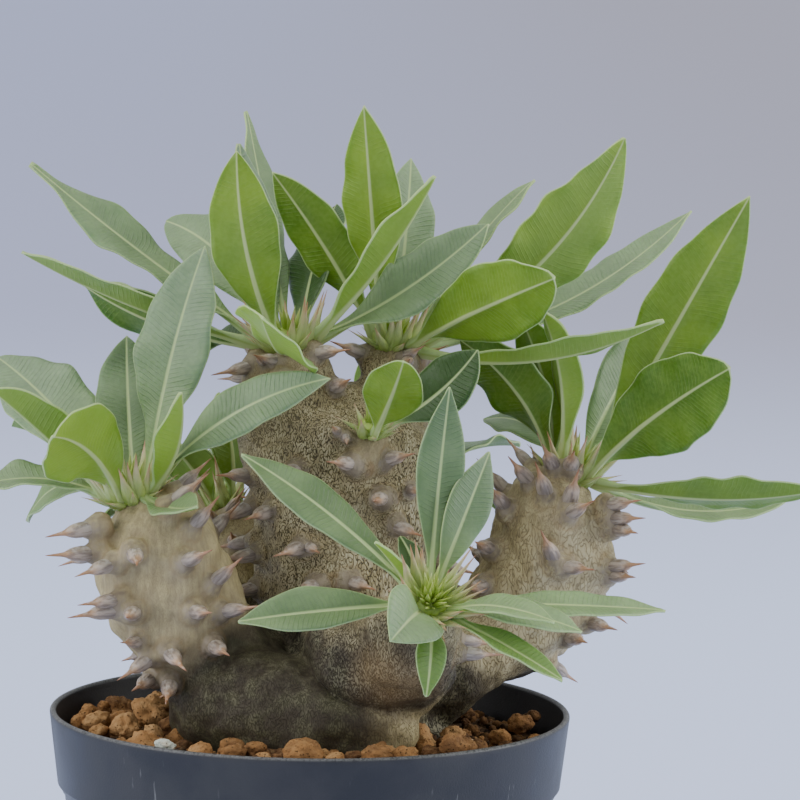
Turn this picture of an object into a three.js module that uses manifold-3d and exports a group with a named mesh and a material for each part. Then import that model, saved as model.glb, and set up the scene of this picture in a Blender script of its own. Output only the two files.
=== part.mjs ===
// A potted Pachypodium rosulatum: a squat, many-stemmed succulent with a swollen foot, paired
// spines on swollen cushions, and a tuft of lance-shaped leaves on every stem tip, standing in
// gravelly soil in a thin plastic nursery pot.
// Millimetres, +Z up. The origin is the centre of the pot's underside, and the front is -Y.
import * as THREE from "three";
import { mergeVertices } from "three/addons/utils/BufferGeometryUtils.js";
import Module from "manifold-3d";

const wasm = await Module();
wasm.setup();

// Driving dimensions of the pot: a 105 mm nursery pot with a plain band under its lip.
const POT_HEIGHT = 90;
const RIM_RADIUS = 52.5;
const BAND_HEIGHT = 15;
const BAND_TAPER = 1.7;
const BAND_STEP = 1.5;
const STEP_HEIGHT = 2;
const BASE_RADIUS = 39;
const BASE_CHAMFER = 1.2;
const LIP_ROUND = 0.3;
const WALL = 1.3;
const FLOOR_FILLET = 1;
const POT_SIDES = 40;
const DRAIN_HOLES = 6;
const DRAIN_RADIUS = 4;
const DRAIN_CIRCLE = 27;
const BAND_LOW = POT_HEIGHT - BAND_HEIGHT;
const STEP_LOW = BAND_LOW - STEP_HEIGHT;
const BAND_RADIUS = RIM_RADIUS - BAND_TAPER;
const NECK_RADIUS = BAND_RADIUS - BAND_STEP;

// Driving dimensions of the soil: a bed with clay granules lying half sunk in its top.
const SOIL_LEVEL = 85.6;
const SOIL_RISE = 2.4;
const SOIL_GAP = 0.35;
const GRANULES = 70;
const GRANULE_SMALL = 2.8;
const GRANULE_LARGE = 5;
const GRANULE_SQUASH = [1, 0.85, 0.8];
const GRANULE_STAND = 0.3;

// The air left between the plant and what it stands in or carries.
const CLEARANCE = 0.4;

// Leaf blades are sampled at these shares of their length, short ones at fewer.
const LEAF_STATIONS = [0, 0.22, 0.42, 0.62, 0.8, 0.93, 1];
const SHORT_STATIONS = [0, 0.3, 0.6, 0.86, 1];
const SHORT_LEAF = 30;
const LEAF_THICKNESS = 0.8;
const STALK_HALF_WIDTH = 0.9;
const WAVES_ALONG_LEAF = 2.6;
const TWIST_SHARE = 0.42;
const RIPPLE_ONSET = 0.25;
const BLADE_LEAN = 1.3;
const WEDGE = 1.25;

// A leaf starts at this share of the crown's radius, and its upper side leans this far in over
// the crown.
const LEAF_ROOT = 0.72;
const LEAF_INWARD = 0.9;

// The young spines among the leaves: their thickness, how far the inner and the outer ones lean
// out, and their lengths and roots as shares of the crown's radius.
const BRISTLE = { radius: 0.95, inner: 0.25, outer: 1, root: 0.5, length: 1.9, shorter: 0.35, turn: 0.7 };

const UP = new THREE.Vector3(0, 0, 1);
const GOLDEN_ANGLE = Math.PI * (3 - Math.sqrt(5));
const radians = THREE.MathUtils.degToRad;

// The stems, each a row of [x, y, z, radius] from the buried foot to the growing tip. `spines` is
// the number of spine pairs, `turn` where their spiral starts, and `from` the share of the stem
// that stays bare below them.
const STEMS = [
  {
    name: "foot",
    sides: 12,
    path: [
      [4, 2, 38, 4],
      [4, 2, 50, 9],
      [4, 2, 64, 15],
      [3, 2, 76, 20],
      [2, 1, 86, 23],
      [3, 2, 95, 23],
      [5, 3, 104, 18],
      [6, 4, 110, 10],
    ],
    spines: 0,
  },
  {
    name: "front_lobe",
    sides: 14,
    path: [
      [-25, -12, 93, 7],
      [-18, -16, 94, 12],
      [-6, -20, 94, 14.5],
      [6, -22, 93, 14.5],
      [15, -23, 92, 12],
      [20, -23, 91, 6.5],
    ],
    spines: 3,
    turn: 200,
    from: 0.1,
  },
  {
    name: "trunk",
    sides: 16,
    path: [
      [6, 3, 84, 22],
      [6, 4, 98, 19.5],
      [6, 4, 110, 17.6],
      [5.5, 4, 122, 17.2],
      [5, 4, 133, 17.6],
      [4.5, 4, 142, 18.6],
      [4.5, 4, 149, 16.5],
      [5, 4, 154, 8],
    ],
    spines: 12,
    turn: 8,
    from: 0.22,
  },
  {
    name: "top_left",
    sides: 14,
    path: [
      [1.5, 3, 138, 12.5],
      [-4, 2, 148, 11.8],
      [-6.5, 1, 155, 10.8],
      [-6, 0, 160, 8],
      [-5, 0, 163, 4.5],
    ],
    spines: 5,
    turn: 150,
    from: 0.45,
  },
  {
    name: "top_right",
    sides: 12,
    path: [
      [13, 4, 138, 10],
      [14.8, 5, 147, 8.8],
      [14.3, 5.5, 154, 6.6],
      [15.2, 6, 159, 5.8],
      [16, 6, 162, 3.8],
    ],
    spines: 4,
    turn: 100,
    from: 0.5,
  },
  {
    name: "side_bud",
    sides: 10,
    path: [
      [9, -6, 141, 6],
      [10.3, -11, 144.5, 4.6],
      [11, -13.5, 147.5, 3],
    ],
    spines: 0,
  },
  {
    name: "left",
    sides: 16,
    path: [
      [-2, -2, 84, 15],
      [-9.5, -6.5, 91, 14.2],
      [-16, -9.5, 98, 13],
      [-22, -12, 105, 12.4],
      [-27, -13.5, 112, 13],
      [-30, -14, 119, 13.8],
      [-32, -14, 126, 13],
      [-34.5, -14, 131, 9.5],
      [-36, -14, 133.6, 4.5],
    ],
    spines: 14,
    turn: 60,
    from: 0.2,
  },
  {
    name: "right",
    sides: 16,
    path: [
      [12, 2, 94, 15],
      [21, 2, 97.5, 12.5],
      [30, 4, 101, 10.8],
      [37, 6.5, 104, 10.6],
      [42, 8.5, 108, 11.4],
      [45.5, 9.5, 113.5, 12.8],
      [48, 10, 119.5, 13.8],
      [50.3, 9.5, 126, 13.6],
      [51.8, 9, 132, 10.5],
      [52.3, 8.5, 136, 5],
    ],
    spines: 12,
    turn: 20,
    from: 0.34,
  },
  {
    name: "front",
    sides: 14,
    path: [
      [6, -4, 93, 12],
      [10, -13, 98, 12.5],
      [14.5, -21, 102.5, 12],
      [18.5, -29, 107.5, 11],
      [21, -35, 112.5, 9],
      [22.4, -39, 116, 5],
    ],
    spines: 5,
    turn: 250,
    from: 0.45,
  },
  {
    name: "back_left",
    sides: 10,
    path: [
      [-4, 8, 84, 14],
      [-10, 16, 94, 11],
      [-14, 22, 104, 9.6],
      [-17, 26, 114, 9.8],
      [-18.5, 28, 121, 8],
      [-18.7, 28, 125, 4],
    ],
    spines: 6,
    turn: 40,
    from: 0.3,
  },
  {
    name: "back",
    sides: 10,
    path: [
      [8, 10, 84, 15],
      [12, 19, 95, 12],
      [15, 26, 105, 10.4],
      [16, 30, 115, 10.4],
      [16, 32, 123, 8.4],
      [16, 32.5, 127.5, 4],
    ],
    spines: 6,
    turn: 130,
    from: 0.3,
  },
];

// A spine: a swollen cushion that starts a little inside the bark and narrows into a thin point.
const SPINE = { sides: 3, heel: 2.8, foot: 0.84, cushion: 2.9, neck: 1.1, neckHeight: 3.6, length: 9.2 };
const SPINE_LOW = 90.5;

// How spines pair up: each stands `spread` to its side of the pair's middle on a stem of radius
// `onRadius`, and never more than `widest`, and points `fan` times as far aside. Spines droop low
// on a stem, are lifted high on it, and none stands above the share `top`.
const PAIR = { spread: radians(17), onRadius: 13, widest: 0.5, fan: 1.9, sunk: 0.4, top: 0.9 };
const SPINE_DROOP = 0.16;
const SPINE_LIFT = 0.35;
const SPINE_SMALL = 0.8;
const SPINE_GROWTH = 0.25;

// How far the rounded end of a stem stands out past its last ring, as a share of that ring, and
// the two gentle waves that keep a stem from being round: [height, lobes, turns along the stem].
const STEM_END = 0.35;
const STEM_LOBES = [
  [0.035, 3, 9],
  [0.02, 5, -7],
];

// The leaf tufts. `axis` is the way the stem tip points. Each leaf is
// [tip x, y, z, width, bow, roll, fold, wave, taper]: bow lifts the middle of the leaf off the
// straight line to its tip, roll turns the blade about that line in degrees, fold raises the edges
// as a share of the half width, wave ripples them, and a taper under 0.8 gives a blunt tip.
const ROSETTES = [
  {
    name: "rosette_left",
    center: [-36.2, -14, 135],
    axis: [-0.25, -0.1, 1],
    crown: 5.2,
    bristles: 5,
    leaves: [
      [-64, 10, 159, 17, 3, -15, 0.15, 0.5, 0.7],
      [-63, -24, 158, 12, 3, 26, 0.7, 0.3, 0.8],
      [-50, -41, 150, 18, 3.5, 45, 0.2, 0.4, 0.7],
      [-68, -10, 135, 12, 3, -8, 0.25, 0.5, 0.8],
      [-22, -8, 184, 15.5, 1.5, 45, 0.12, 0.5, 0.85],
      [-38, 8, 164, 13, 1, 14, 0.1, 0.3, 0.85],
      [-26, -26, 157, 9, -3, 0, 0.7, 0.2, 0.9],
      [3, -25, 160, 11, 4, 50, 0.15, 0.3, 0.85],
      [-24, -32, 136, 8, 3, 40, 0.4, 0.2, 0.9],
      [-58, 15, 125, 9, 5, -40, 0.2, 0.3, 0.85],
      [-61, 13, 145, 12, 3, 45, 0.2, 0.3, 0.8],
    ],
  },
  {
    name: "rosette_top_left",
    center: [-5, 0, 164],
    axis: [-0.15, 0, 1],
    crown: 5.4,
    bristles: 6,
    leaves: [
      [-58, 14, 198, 12, -1, -26, 0.2, 1.1, 0.95],
      [-58, 6, 181, 11, -2, 34, 0.6, 0.4, 0.95],
      [-47, 20, 173, 13, -3, 70, 0.2, 1, 0.8],
      [-16, -10, 203, 14, -5, 20, 0.12, 0.3, 0.8],
      [-15, 34, 208, 11, 1, 55, 0.2, 0.4, 0.95],
      [-16, 11, 203, 13, -3, 19, 0.15, 0.4, 0.85],
      [-31, 34, 185, 13, 5, -35, 0.15, 0.3, 0.65],
      [1, -27, 162, 14, 8, -15, 0.3, 0.4, 0.75],
      [23, -14, 199, 9, -2, -20, 0.8, 0.5, 0.95],
      [34, -6, 189, 12.5, -2, 57, 0.15, 0.3, 0.8],
      [-24, 22, 158, 8, 3, -27, 0.3, 0.3, 0.85],
      [2, 26, 194, 10, 2, -16, 0.15, 0.3, 0.9],
    ],
  },
  {
    name: "rosette_top_right",
    center: [16, 6, 163.5],
    axis: [0.15, 0.05, 1],
    crown: 4.6,
    bristles: 5,
    leaves: [
      [9, -4, 212, 12.5, 0, 30, 0.12, 0.5, 0.9],
      [19, 30, 199, 12, 3, 12, 0.15, 0.3, 0.9],
      [46, -32, 181, 16.5, 0.5, -55, 0.12, 0.3, 0.62],
      [61, 2, 206, 17, -6, -60, 0.1, 0.7, 0.85],
      [44, 18, 196, 11, 2, 0, 0.2, 0.4, 0.95],
      [77, 32, 189, 12, -6, 16, 0.2, 0.4, 0.9],
      [68, -22, 172, 10, -6, -20, 0.4, 0.5, 0.9],
      [48, 32, 172, 13, 4, 0, 0.2, 0.4, 0.8],
      [-9, 3, 198, 12, 1, 60, 0.15, 0.3, 0.85],
    ],
  },
  {
    name: "rosette_side_bud",
    center: [11.2, -14.2, 149],
    axis: [0.2, -0.35, 0.9],
    crown: 3,
    bristles: 5,
    leaves: [
      [17.2, -28, 164, 12, -1, -22, 0.12, 0.2, 0.6],
      [32, -16, 165, 12, -2, 33, 0.12, 0.3, 0.8],
    ],
  },
  {
    name: "rosette_right",
    center: [52.5, 8.5, 137.4],
    axis: [0.25, 0, 1],
    crown: 5,
    bristles: 5,
    leaves: [
      [86, -2, 195, 18, 0, -68, 0.12, 0.6, 0.9],
      [81, -24, 163, 18, 1.5, -62, 0.12, 0.4, 0.62],
      [100, -2, 136, 14, -2.5, -35, 0.25, 0.8, 0.85],
      [99, 30, 130, 12, -5, 15, 0.2, 0.6, 0.9],
      [29, 4, 165, 15, 3, 50, 0.12, 0.4, 0.8],
      [41, 7, 170, 12, 2, 50, 0.15, 0.3, 0.8],
      [44, -6, 174, 11, 4, 10, 0.3, 0.3, 0.8],
      [58, 38, 155, 12, 3, 40, 0.2, 0.4, 0.85],
      [35, 31, 145, 12, 4, -28, 0.2, 0.3, 0.85],
    ],
  },
  {
    name: "rosette_front",
    center: [22.8, -41, 118.4],
    axis: [0.2, -0.75, 0.62],
    crown: 4.6,
    bristles: 12,
    leaves: [
      [-14, -34, 146, 9.5, 3, 0, 0.15, 0.2, 0.95],
      [-14, -48, 116, 9, 3, 0, 0.2, 0.2, 0.95],
      [26, -36, 160, 9.5, -1, 0, 0.12, 0.2, 0.95],
      [34, -32, 147, 9.5, 1, 25, 0.15, 0.2, 0.95],
      [69, -31, 116, 9, 1, -29, 0.2, 0.2, 0.98],
      [52, -45, 114, 9, 3, -21, 0.2, 0.2, 0.9],
      [46, -58, 118, 7.5, 3, -18, 0.3, 0.2, 0.9],
      [48, -54, 106, 6.5, 1, -17, 0.35, 0.2, 0.9],
      [22, -56, 103, 6, 3, 0, 0.2, 0.1, 0.9],
      [15, -58, 114, 13, 3, -15, 0.45, 0.1, 0.8],
      [17, -32, 130, 4.5, 1, 0, 0.2, 0.1, 0.9],
      [12, -45, 131, 4.5, 1, 60, 0.5, 0.1, 0.95],
    ],
  },
  {
    name: "rosette_back_left",
    center: [-18.8, 28.2, 126.5],
    axis: [-0.3, 0.4, 0.9],
    crown: 4.2,
    bristles: 4,
    leaves: [
      [-20, 31, 150, 11, -2, 0, 0.15, 0.3, 0.85],
      [-29, 22, 140, 11, 2, 0, 0.15, 0.3, 0.8],
      [-50, 33, 136, 12, 4, 0, 0.15, 0.4, 0.85],
      [-38, 56, 133, 13, 4, 0, 0.15, 0.4, 0.85],
      [-14, 62, 138, 13, 4, 0, 0.15, 0.4, 0.85],
      [-36, 44, 152, 12, -2, 0, 0.15, 0.3, 0.85],
      [-44, 20, 124, 9, 4, 0, 0.2, 0.3, 0.85],
    ],
  },
  {
    name: "rosette_back",
    center: [16, 32.8, 129.2],
    axis: [0.1, 0.35, 0.95],
    crown: 4.4,
    bristles: 4,
    leaves: [
      [12, 38, 160, 13, -2, 0, 0.15, 0.3, 0.85],
      [30, 52, 152, 14, 2, 0, 0.15, 0.4, 0.8],
      [44, 62, 136, 13, 4, 0, 0.2, 0.5, 0.85],
      [22, 72, 134, 14, 5, 0, 0.15, 0.5, 0.85],
      [2, 60, 150, 13, 2, 0, 0.15, 0.4, 0.85],
      [40, 40, 124, 10, 4, 0, 0.2, 0.4, 0.85],
      [8, 56, 124, 10, 4, 0, 0.2, 0.3, 0.85],
    ],
  },
];

const MATERIALS = {
  pot: new THREE.MeshStandardMaterial({ color: 0x3b3f48, roughness: 0.5, metalness: 0 }),
  soil: new THREE.MeshStandardMaterial({ color: 0x9a6a3c, roughness: 0.95, metalness: 0 }),
  bark: new THREE.MeshStandardMaterial({ color: 0x8d8473, roughness: 0.8, metalness: 0 }),
  leaf: new THREE.MeshStandardMaterial({ color: 0x5f8f45, roughness: 0.55, metalness: 0 }),
};

// A repeatable stream of numbers from 0 to 1.
function seeded(seed) {
  let state = seed;
  return () => {
    state = (state * 1664525 + 1013904223) % 4294967296;
    return state / 4294967296;
  };
}

// A closed geometry as a solid that can be joined and cut.
function solidOf(geometry) {
  const bare = geometry.index ? geometry.toNonIndexed() : geometry.clone();
  for (const name of Object.keys(bare.attributes)) {
    if (name !== "position") bare.deleteAttribute(name);
  }
  const merged = mergeVertices(bare, 1e-4);
  return new wasm.Manifold(
    new wasm.Mesh({
      numProp: 3,
      vertProperties: merged.attributes.position.array,
      triVerts: new Uint32Array(merged.index.array),
    }),
  );
}

// A solid as a geometry with flat faces.
function geometryOf(solid) {
  const mesh = solid.getMesh();
  const geometry = new THREE.BufferGeometry();
  geometry.setAttribute("position", new THREE.BufferAttribute(mesh.vertProperties, 3));
  geometry.setIndex(new THREE.BufferAttribute(mesh.triVerts, 1));
  const faceted = geometry.toNonIndexed();
  faceted.computeVertexNormals();
  return faceted;
}

function joined(solids) {
  return solids.reduce((sum, next) => sum.add(next));
}

// The largest body of a solid: trimming can leave loose scraps, which are dropped.
function largestBody(solid) {
  return solid.decompose().reduce((best, body) => (body.volume() > best.volume() ? body : best));
}

// A closed skin over rows of points: the rows run from one end to the other, each turning
// counterclockwise when seen from the far end, and a single point closes each end.
function skin(first, rows, last) {
  const count = rows[0].length;
  const points = [first, ...rows.flat(), last];
  const end = points.length - 1;
  const faces = [];
  for (let i = 0; i < count; i++) {
    const next = (i + 1) % count;
    faces.push(0, 1 + next, 1 + i);
    for (let row = 0; row < rows.length - 1; row++) {
      const low = 1 + row * count;
      const high = low + count;
      faces.push(low + i, low + next, high + next, low + i, high + next, high + i);
    }
    const top = 1 + (rows.length - 1) * count;
    faces.push(top + i, top + next, end);
  }
  const geometry = new THREE.BufferGeometry();
  const flat = points.flatMap((p) => [p.x, p.y, p.z]);
  geometry.setAttribute("position", new THREE.BufferAttribute(new Float32Array(flat), 3));
  geometry.setIndex(faces);
  return geometry;
}

// Two unit vectors square to a direction, turning counterclockwise about it.
function across(direction) {
  const hint = Math.abs(direction.z) < 0.95 ? UP : new THREE.Vector3(0, -1, 0);
  const side = new THREE.Vector3().crossVectors(hint, direction).normalize();
  return [side, new THREE.Vector3().crossVectors(direction, side)];
}

// The point at an angle on a circle about a centre, square to a direction.
function onCircle(center, direction, radius, angle) {
  const [side, rise] = across(direction);
  return center
    .clone()
    .addScaledVector(side, radius * Math.cos(angle))
    .addScaledVector(rise, radius * Math.sin(angle));
}

// A stem's centre line and its radius at a share of its length. Its rings all face along the
// straight line from foot to tip, so that they never cross where the stem bends.
function stemLine(stem) {
  const line = new THREE.CatmullRomCurve3(
    stem.path.map(([x, y, z]) => new THREE.Vector3(x, y, z)),
    false,
    "centripetal",
  );
  const radii = new THREE.CatmullRomCurve3(
    stem.path.map(([, , , radius], i) => new THREE.Vector3(i, radius, 0)),
    false,
    "centripetal",
  );
  const radius = (share) => radii.getPoint(share).y;
  const lobe = (share, angle) => ([height, lobes, turns]) =>
    height * Math.sin(lobes * angle + turns * share);
  const lobed = (share, angle) =>
    STEM_LOBES.map(lobe(share, angle)).reduce((sum, height) => sum + height, 1);
  return {
    point: (share) => line.getPoint(share),
    direction: line.getPoint(1).sub(line.getPoint(0)).normalize(),
    radius,
    lumpy: (share, angle) => radius(share) * lobed(share, angle),
  };
}

// A stem as a swelling tube with rounded ends, made fatter all round by `extra`.
function stemSolid(stem, extra) {
  const line = stemLine(stem);
  const rows = stem.path.length - 1;
  const rings = [];
  for (let row = 0; row <= rows; row++) {
    const share = row / rows;
    const shift = row === 0 ? -extra : row === rows ? extra : 0;
    const center = line.point(share).addScaledVector(line.direction, shift);
    const ring = [];
    for (let i = 0; i < stem.sides; i++) {
      const angle = (i / stem.sides) * 2 * Math.PI;
      ring.push(onCircle(center, line.direction, line.lumpy(share, angle) + extra, angle));
    }
    rings.push(ring);
  }
  const foot = line.point(0).addScaledVector(line.direction, -STEM_END * line.radius(0) - 2 * extra);
  const tip = line.point(1).addScaledVector(line.direction, STEM_END * line.radius(1) + 2 * extra);
  return solidOf(skin(foot, rings, tip));
}

// A cone-like spine standing on a point, made fatter by `extra`.
function spineSolid(root, direction, size, extra) {
  const ring = (height, radius) =>
    Array.from({ length: SPINE.sides }, (_, i) =>
      onCircle(
        root.clone().addScaledVector(direction, height * size),
        direction,
        radius * size + extra / Math.cos(Math.PI / SPINE.sides),
        (i / SPINE.sides) * 2 * Math.PI,
      ),
    );
  const heel = root.clone().addScaledVector(direction, -SPINE.heel * size - extra);
  const tip = root.clone().addScaledVector(direction, SPINE.length * size + 4 * extra);
  const rows = [ring(-SPINE.foot, SPINE.cushion), ring(SPINE.neckHeight, SPINE.neck)];
  return solidOf(skin(heel, rows, tip));
}

// Where the spines of a stem stand: pairs on a golden-angle spiral, of uneven sizes.
function spinesOf(stem) {
  const line = stemLine(stem);
  const places = [];
  for (let pair = 0; pair < stem.spines; pair++) {
    const share = stem.from + (PAIR.top - stem.from) * ((pair + 0.5) / stem.spines);
    const angle = radians(stem.turn) + pair * GOLDEN_ANGLE;
    const center = line.point(share);
    const radius = line.radius(share);
    for (const side of [-1, 1]) {
      const spread = side * Math.min((PAIR.spread * PAIR.onRadius) / radius, PAIR.widest);
      const reach = line.lumpy(share, angle + spread) - PAIR.sunk;
      const root = onCircle(center, line.direction, reach, angle + spread);
      const out = onCircle(new THREE.Vector3(), line.direction, 1, angle + spread * PAIR.fan);
      out.addScaledVector(UP, SPINE_LIFT * share - SPINE_DROOP).normalize();
      const size = SPINE_SMALL + SPINE_GROWTH * Math.sin(GOLDEN_ANGLE * pair + side) ** 2;
      places.push({ root, out, size });
    }
  }
  return places;
}

// True where a point lies inside another stem than its own, so no spine grows there.
function buried(point, own) {
  const samples = Array.from({ length: 13 }, (_, i) => i / 12);
  return STEMS.filter((stem) => stem !== own).some((stem) => {
    const line = stemLine(stem);
    return samples.some((share) => line.point(share).distanceTo(point) < 0.98 * line.radius(share));
  });
}

// Spines that would stand in the soil, or inside another stem, are left out.
function keptSpines() {
  return STEMS.flatMap((stem) =>
    spinesOf(stem).filter(({ root, out, size }) => {
      const tip = root.clone().addScaledVector(out, SPINE.length * size);
      return Math.min(root.z, tip.z) > SPINE_LOW && !buried(root, stem) && !buried(tip, stem);
    }),
  );
}

function plantSolid(extra) {
  const stems = STEMS.map((stem) => stemSolid(stem, extra));
  const spines = keptSpines().map(({ root, out, size }) => spineSolid(root, out, size, extra));
  return joined([...stems, ...spines]);
}

// The share of the full width that a blade has along its length: a narrow wedge at the stalk,
// widest past the middle, then a pointed or blunt tip.
function bladeShare(share, taper) {
  const swell = share ** BLADE_LEAN;
  return Math.sin(Math.PI * swell) ** (swell < 0.5 ? WEDGE : taper);
}

// A leaf as a thin blade with a raised pair of edges, both faces split alike.
function leafSolid(rosette, spec) {
  const [x, y, z, width, bow, roll, fold, wave, taper] = spec;
  const center = new THREE.Vector3(...rosette.center);
  const axis = new THREE.Vector3(...rosette.axis).normalize();
  const tip = new THREE.Vector3(x, y, z);
  const radial = tip.clone().sub(center).projectOnPlane(axis).normalize();
  const base = center.clone().addScaledVector(radial, LEAF_ROOT * rosette.crown);
  const chord = tip.clone().sub(base).normalize();
  const upper = axis.clone().addScaledVector(radial, -LEAF_INWARD).projectOnPlane(chord).normalize();
  const middle = base.clone().lerp(tip, 0.5).addScaledVector(upper, 2 * bow);
  const line = new THREE.QuadraticBezierCurve3(base, middle, tip);

  const stations = tip.distanceTo(base) < SHORT_LEAF ? SHORT_STATIONS : LEAF_STATIONS;
  const rows = stations.slice(0, -1).map((share) => {
    const direction = line.getTangent(share);
    const twist = radians(roll) * Math.min(1, share / TWIST_SHARE);
    const turned = upper.clone().applyAxisAngle(chord, twist);
    const side = new THREE.Vector3().crossVectors(turned, direction).normalize();
    const face = new THREE.Vector3().crossVectors(direction, side);
    const half = Math.max(0.5 * width * bladeShare(share, taper), STALK_HALF_WIDTH);
    const onset = Math.min(1, share / RIPPLE_ONSET);
    const ripple = wave * onset * Math.sin(2 * Math.PI * WAVES_ALONG_LEAF * share);
    const at = (sideways, level) =>
      line
        .getPoint(share)
        .addScaledVector(side, sideways * half)
        .addScaledVector(face, Math.abs(sideways) * (fold * half + sideways * ripple) + level);
    const level = LEAF_THICKNESS / 2;
    return [at(-1, -level), at(0, -level), at(1, -level), at(1, level), at(0, level), at(-1, level)];
  });
  return solidOf(skin(line.getPoint(0), rows, tip));
}

// A young spine of the tuft: a slim three-sided cone.
function bristleSolid(root, direction, length, radius) {
  const ring = [0, 1, 2].map((i) => onCircle(root, direction, radius, (i * 2 * Math.PI) / 3));
  const heel = root.clone().addScaledVector(direction, -0.5 * radius);
  return solidOf(skin(heel, [ring], root.clone().addScaledVector(direction, length)));
}

// A tuft: the domed growing tip with its young spines and all its leaves, grown together.
function rosetteSolid(rosette, plant) {
  const center = new THREE.Vector3(...rosette.center);
  const axis = new THREE.Vector3(...rosette.axis).normalize();
  const dome = new THREE.SphereGeometry(rosette.crown, 8, 4);
  dome.rotateX(Math.PI / 2);
  dome.scale(1, 1, 0.8);
  dome.applyQuaternion(new THREE.Quaternion().setFromUnitVectors(UP, axis));
  dome.translate(...rosette.center);
  const bristles = Array.from({ length: rosette.bristles }, (_, i) => {
    const outward = Math.sqrt((i + 0.5) / rosette.bristles);
    const lean = BRISTLE.inner + (BRISTLE.outer - BRISTLE.inner) * outward;
    const out = onCircle(new THREE.Vector3(), axis, lean, i * GOLDEN_ANGLE + BRISTLE.turn);
    const direction = out.add(axis).normalize();
    const root = center.clone().addScaledVector(direction, BRISTLE.root * rosette.crown);
    const length = rosette.crown * (BRISTLE.length - BRISTLE.shorter * lean);
    return bristleSolid(root, direction, length, BRISTLE.radius);
  });
  const leaves = rosette.leaves.map((spec) => leafSolid(rosette, spec));
  return largestBody(joined([solidOf(dome), ...bristles, ...leaves]).subtract(plant));
}

// The inner wall of the pot from its lip down to its floor, as [radius, height].
const POT_INSIDE = [
  [RIM_RADIUS - WALL, POT_HEIGHT],
  [BAND_RADIUS - WALL, BAND_LOW - LIP_ROUND],
  [NECK_RADIUS - WALL, STEP_LOW - LIP_ROUND],
  [BASE_RADIUS - WALL, WALL + FLOOR_FILLET],
  [BASE_RADIUS - WALL - FLOOR_FILLET, WALL],
];

const points2d = (rows) => rows.map(([radius, height]) => new THREE.Vector2(radius, height));

// The pot: a thin tapering wall, wider in the band under its lip, with drain holes in its floor.
function potSolid() {
  const outside = [
    [0, 0],
    [BASE_RADIUS - BASE_CHAMFER, 0],
    [BASE_RADIUS, BASE_CHAMFER],
    [NECK_RADIUS, STEP_LOW],
    [BAND_RADIUS, BAND_LOW],
    [RIM_RADIUS - LIP_ROUND, POT_HEIGHT - 3 * LIP_ROUND],
    [RIM_RADIUS, POT_HEIGHT - 2 * LIP_ROUND],
    [RIM_RADIUS - LIP_ROUND, POT_HEIGHT],
  ];
  const profile = points2d([...outside, ...POT_INSIDE, [0, WALL]]);
  const shell = new THREE.LatheGeometry(profile, POT_SIDES);
  shell.rotateX(Math.PI / 2);
  let pot = solidOf(shell);
  for (let i = 0; i < DRAIN_HOLES; i++) {
    const angle = (i / DRAIN_HOLES) * 2 * Math.PI;
    const drill = new THREE.CylinderGeometry(DRAIN_RADIUS, DRAIN_RADIUS, 4 * WALL, 8);
    drill.rotateX(Math.PI / 2);
    drill.translate(DRAIN_CIRCLE * Math.cos(angle), DRAIN_CIRCLE * Math.sin(angle), WALL / 2);
    pot = pot.subtract(solidOf(drill));
  }
  return pot;
}

// The soil: a bed that fills the pot, with granules scattered over its top on a sunflower spiral,
// cut out where the plant stands in it.
function soilSolid(plant) {
  const [[lipRadius], [bandRadius, bandHeight]] = POT_INSIDE;
  const upBand = (SOIL_LEVEL - bandHeight) / (POT_HEIGHT - bandHeight);
  const topRadius = bandRadius + (lipRadius - bandRadius) * upBand - SOIL_GAP;
  const wall = POT_INSIDE.slice(1).map(([radius, height]) => [radius - SOIL_GAP, height + SOIL_GAP]);
  const top = [
    [topRadius, SOIL_LEVEL],
    [0, SOIL_LEVEL + SOIL_RISE],
  ];
  const bed = new THREE.LatheGeometry(
    points2d([[0, WALL + SOIL_GAP], ...wall.reverse(), ...top]),
    POT_SIDES,
  );
  bed.rotateX(Math.PI / 2);
  const random = seeded(11);
  const turn = () => 2 * Math.PI * random();
  const granules = Array.from({ length: GRANULES }, (_, i) => {
    const size = GRANULE_SMALL + (GRANULE_LARGE - GRANULE_SMALL) * random() ** 1.6;
    const reach = (topRadius - size) * Math.sqrt((i + 0.5) / GRANULES);
    const angle = i * GOLDEN_ANGLE + 0.25 * random();
    const ground = SOIL_LEVEL + SOIL_RISE * (1 - reach / topRadius);
    const grain = new THREE.IcosahedronGeometry(size, 0);
    grain.rotateX(turn());
    grain.rotateY(turn());
    grain.scale(...GRANULE_SQUASH);
    const height = ground + GRANULE_STAND * size + random();
    grain.translate(reach * Math.cos(angle), reach * Math.sin(angle), height);
    return solidOf(grain);
  });
  return largestBody(joined([solidOf(bed), ...granules]).subtract(plant));
}

function piece(name, solid, material) {
  const mesh = new THREE.Mesh(geometryOf(solid), material);
  mesh.name = name;
  return mesh;
}

const plantWithClearance = plantSolid(CLEARANCE);
const pottedPlant = new THREE.Group();
pottedPlant.add(piece("pot", potSolid(), MATERIALS.pot));
pottedPlant.add(piece("soil", soilSolid(plantWithClearance), MATERIALS.soil));
pottedPlant.add(piece("caudex", plantSolid(0), MATERIALS.bark));
for (const rosette of ROSETTES) {
  pottedPlant.add(piece(rosette.name, rosetteSolid(rosette, plantWithClearance), MATERIALS.leaf));
}

export default pottedPlant;
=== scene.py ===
"""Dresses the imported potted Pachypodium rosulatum: wrinkled bark with paired spines, leaf tufts with
veined blades and young spines, clay granules over the soil, and a scuffed nursery pot.

Sizes are in millimetres and follow the part's own drawing. They become metres where a mesh is set.
"""

import logging
import math
from collections.abc import Iterable
from dataclasses import dataclass
from enum import Enum, IntEnum

import bpy
import numpy as np
from bpy.types import Material, Node, NodeInputs, NodeOutputs, NodeSocket, NodeTree, Object
from mathutils import Matrix, Vector
from numpy.random import Generator, default_rng


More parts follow.
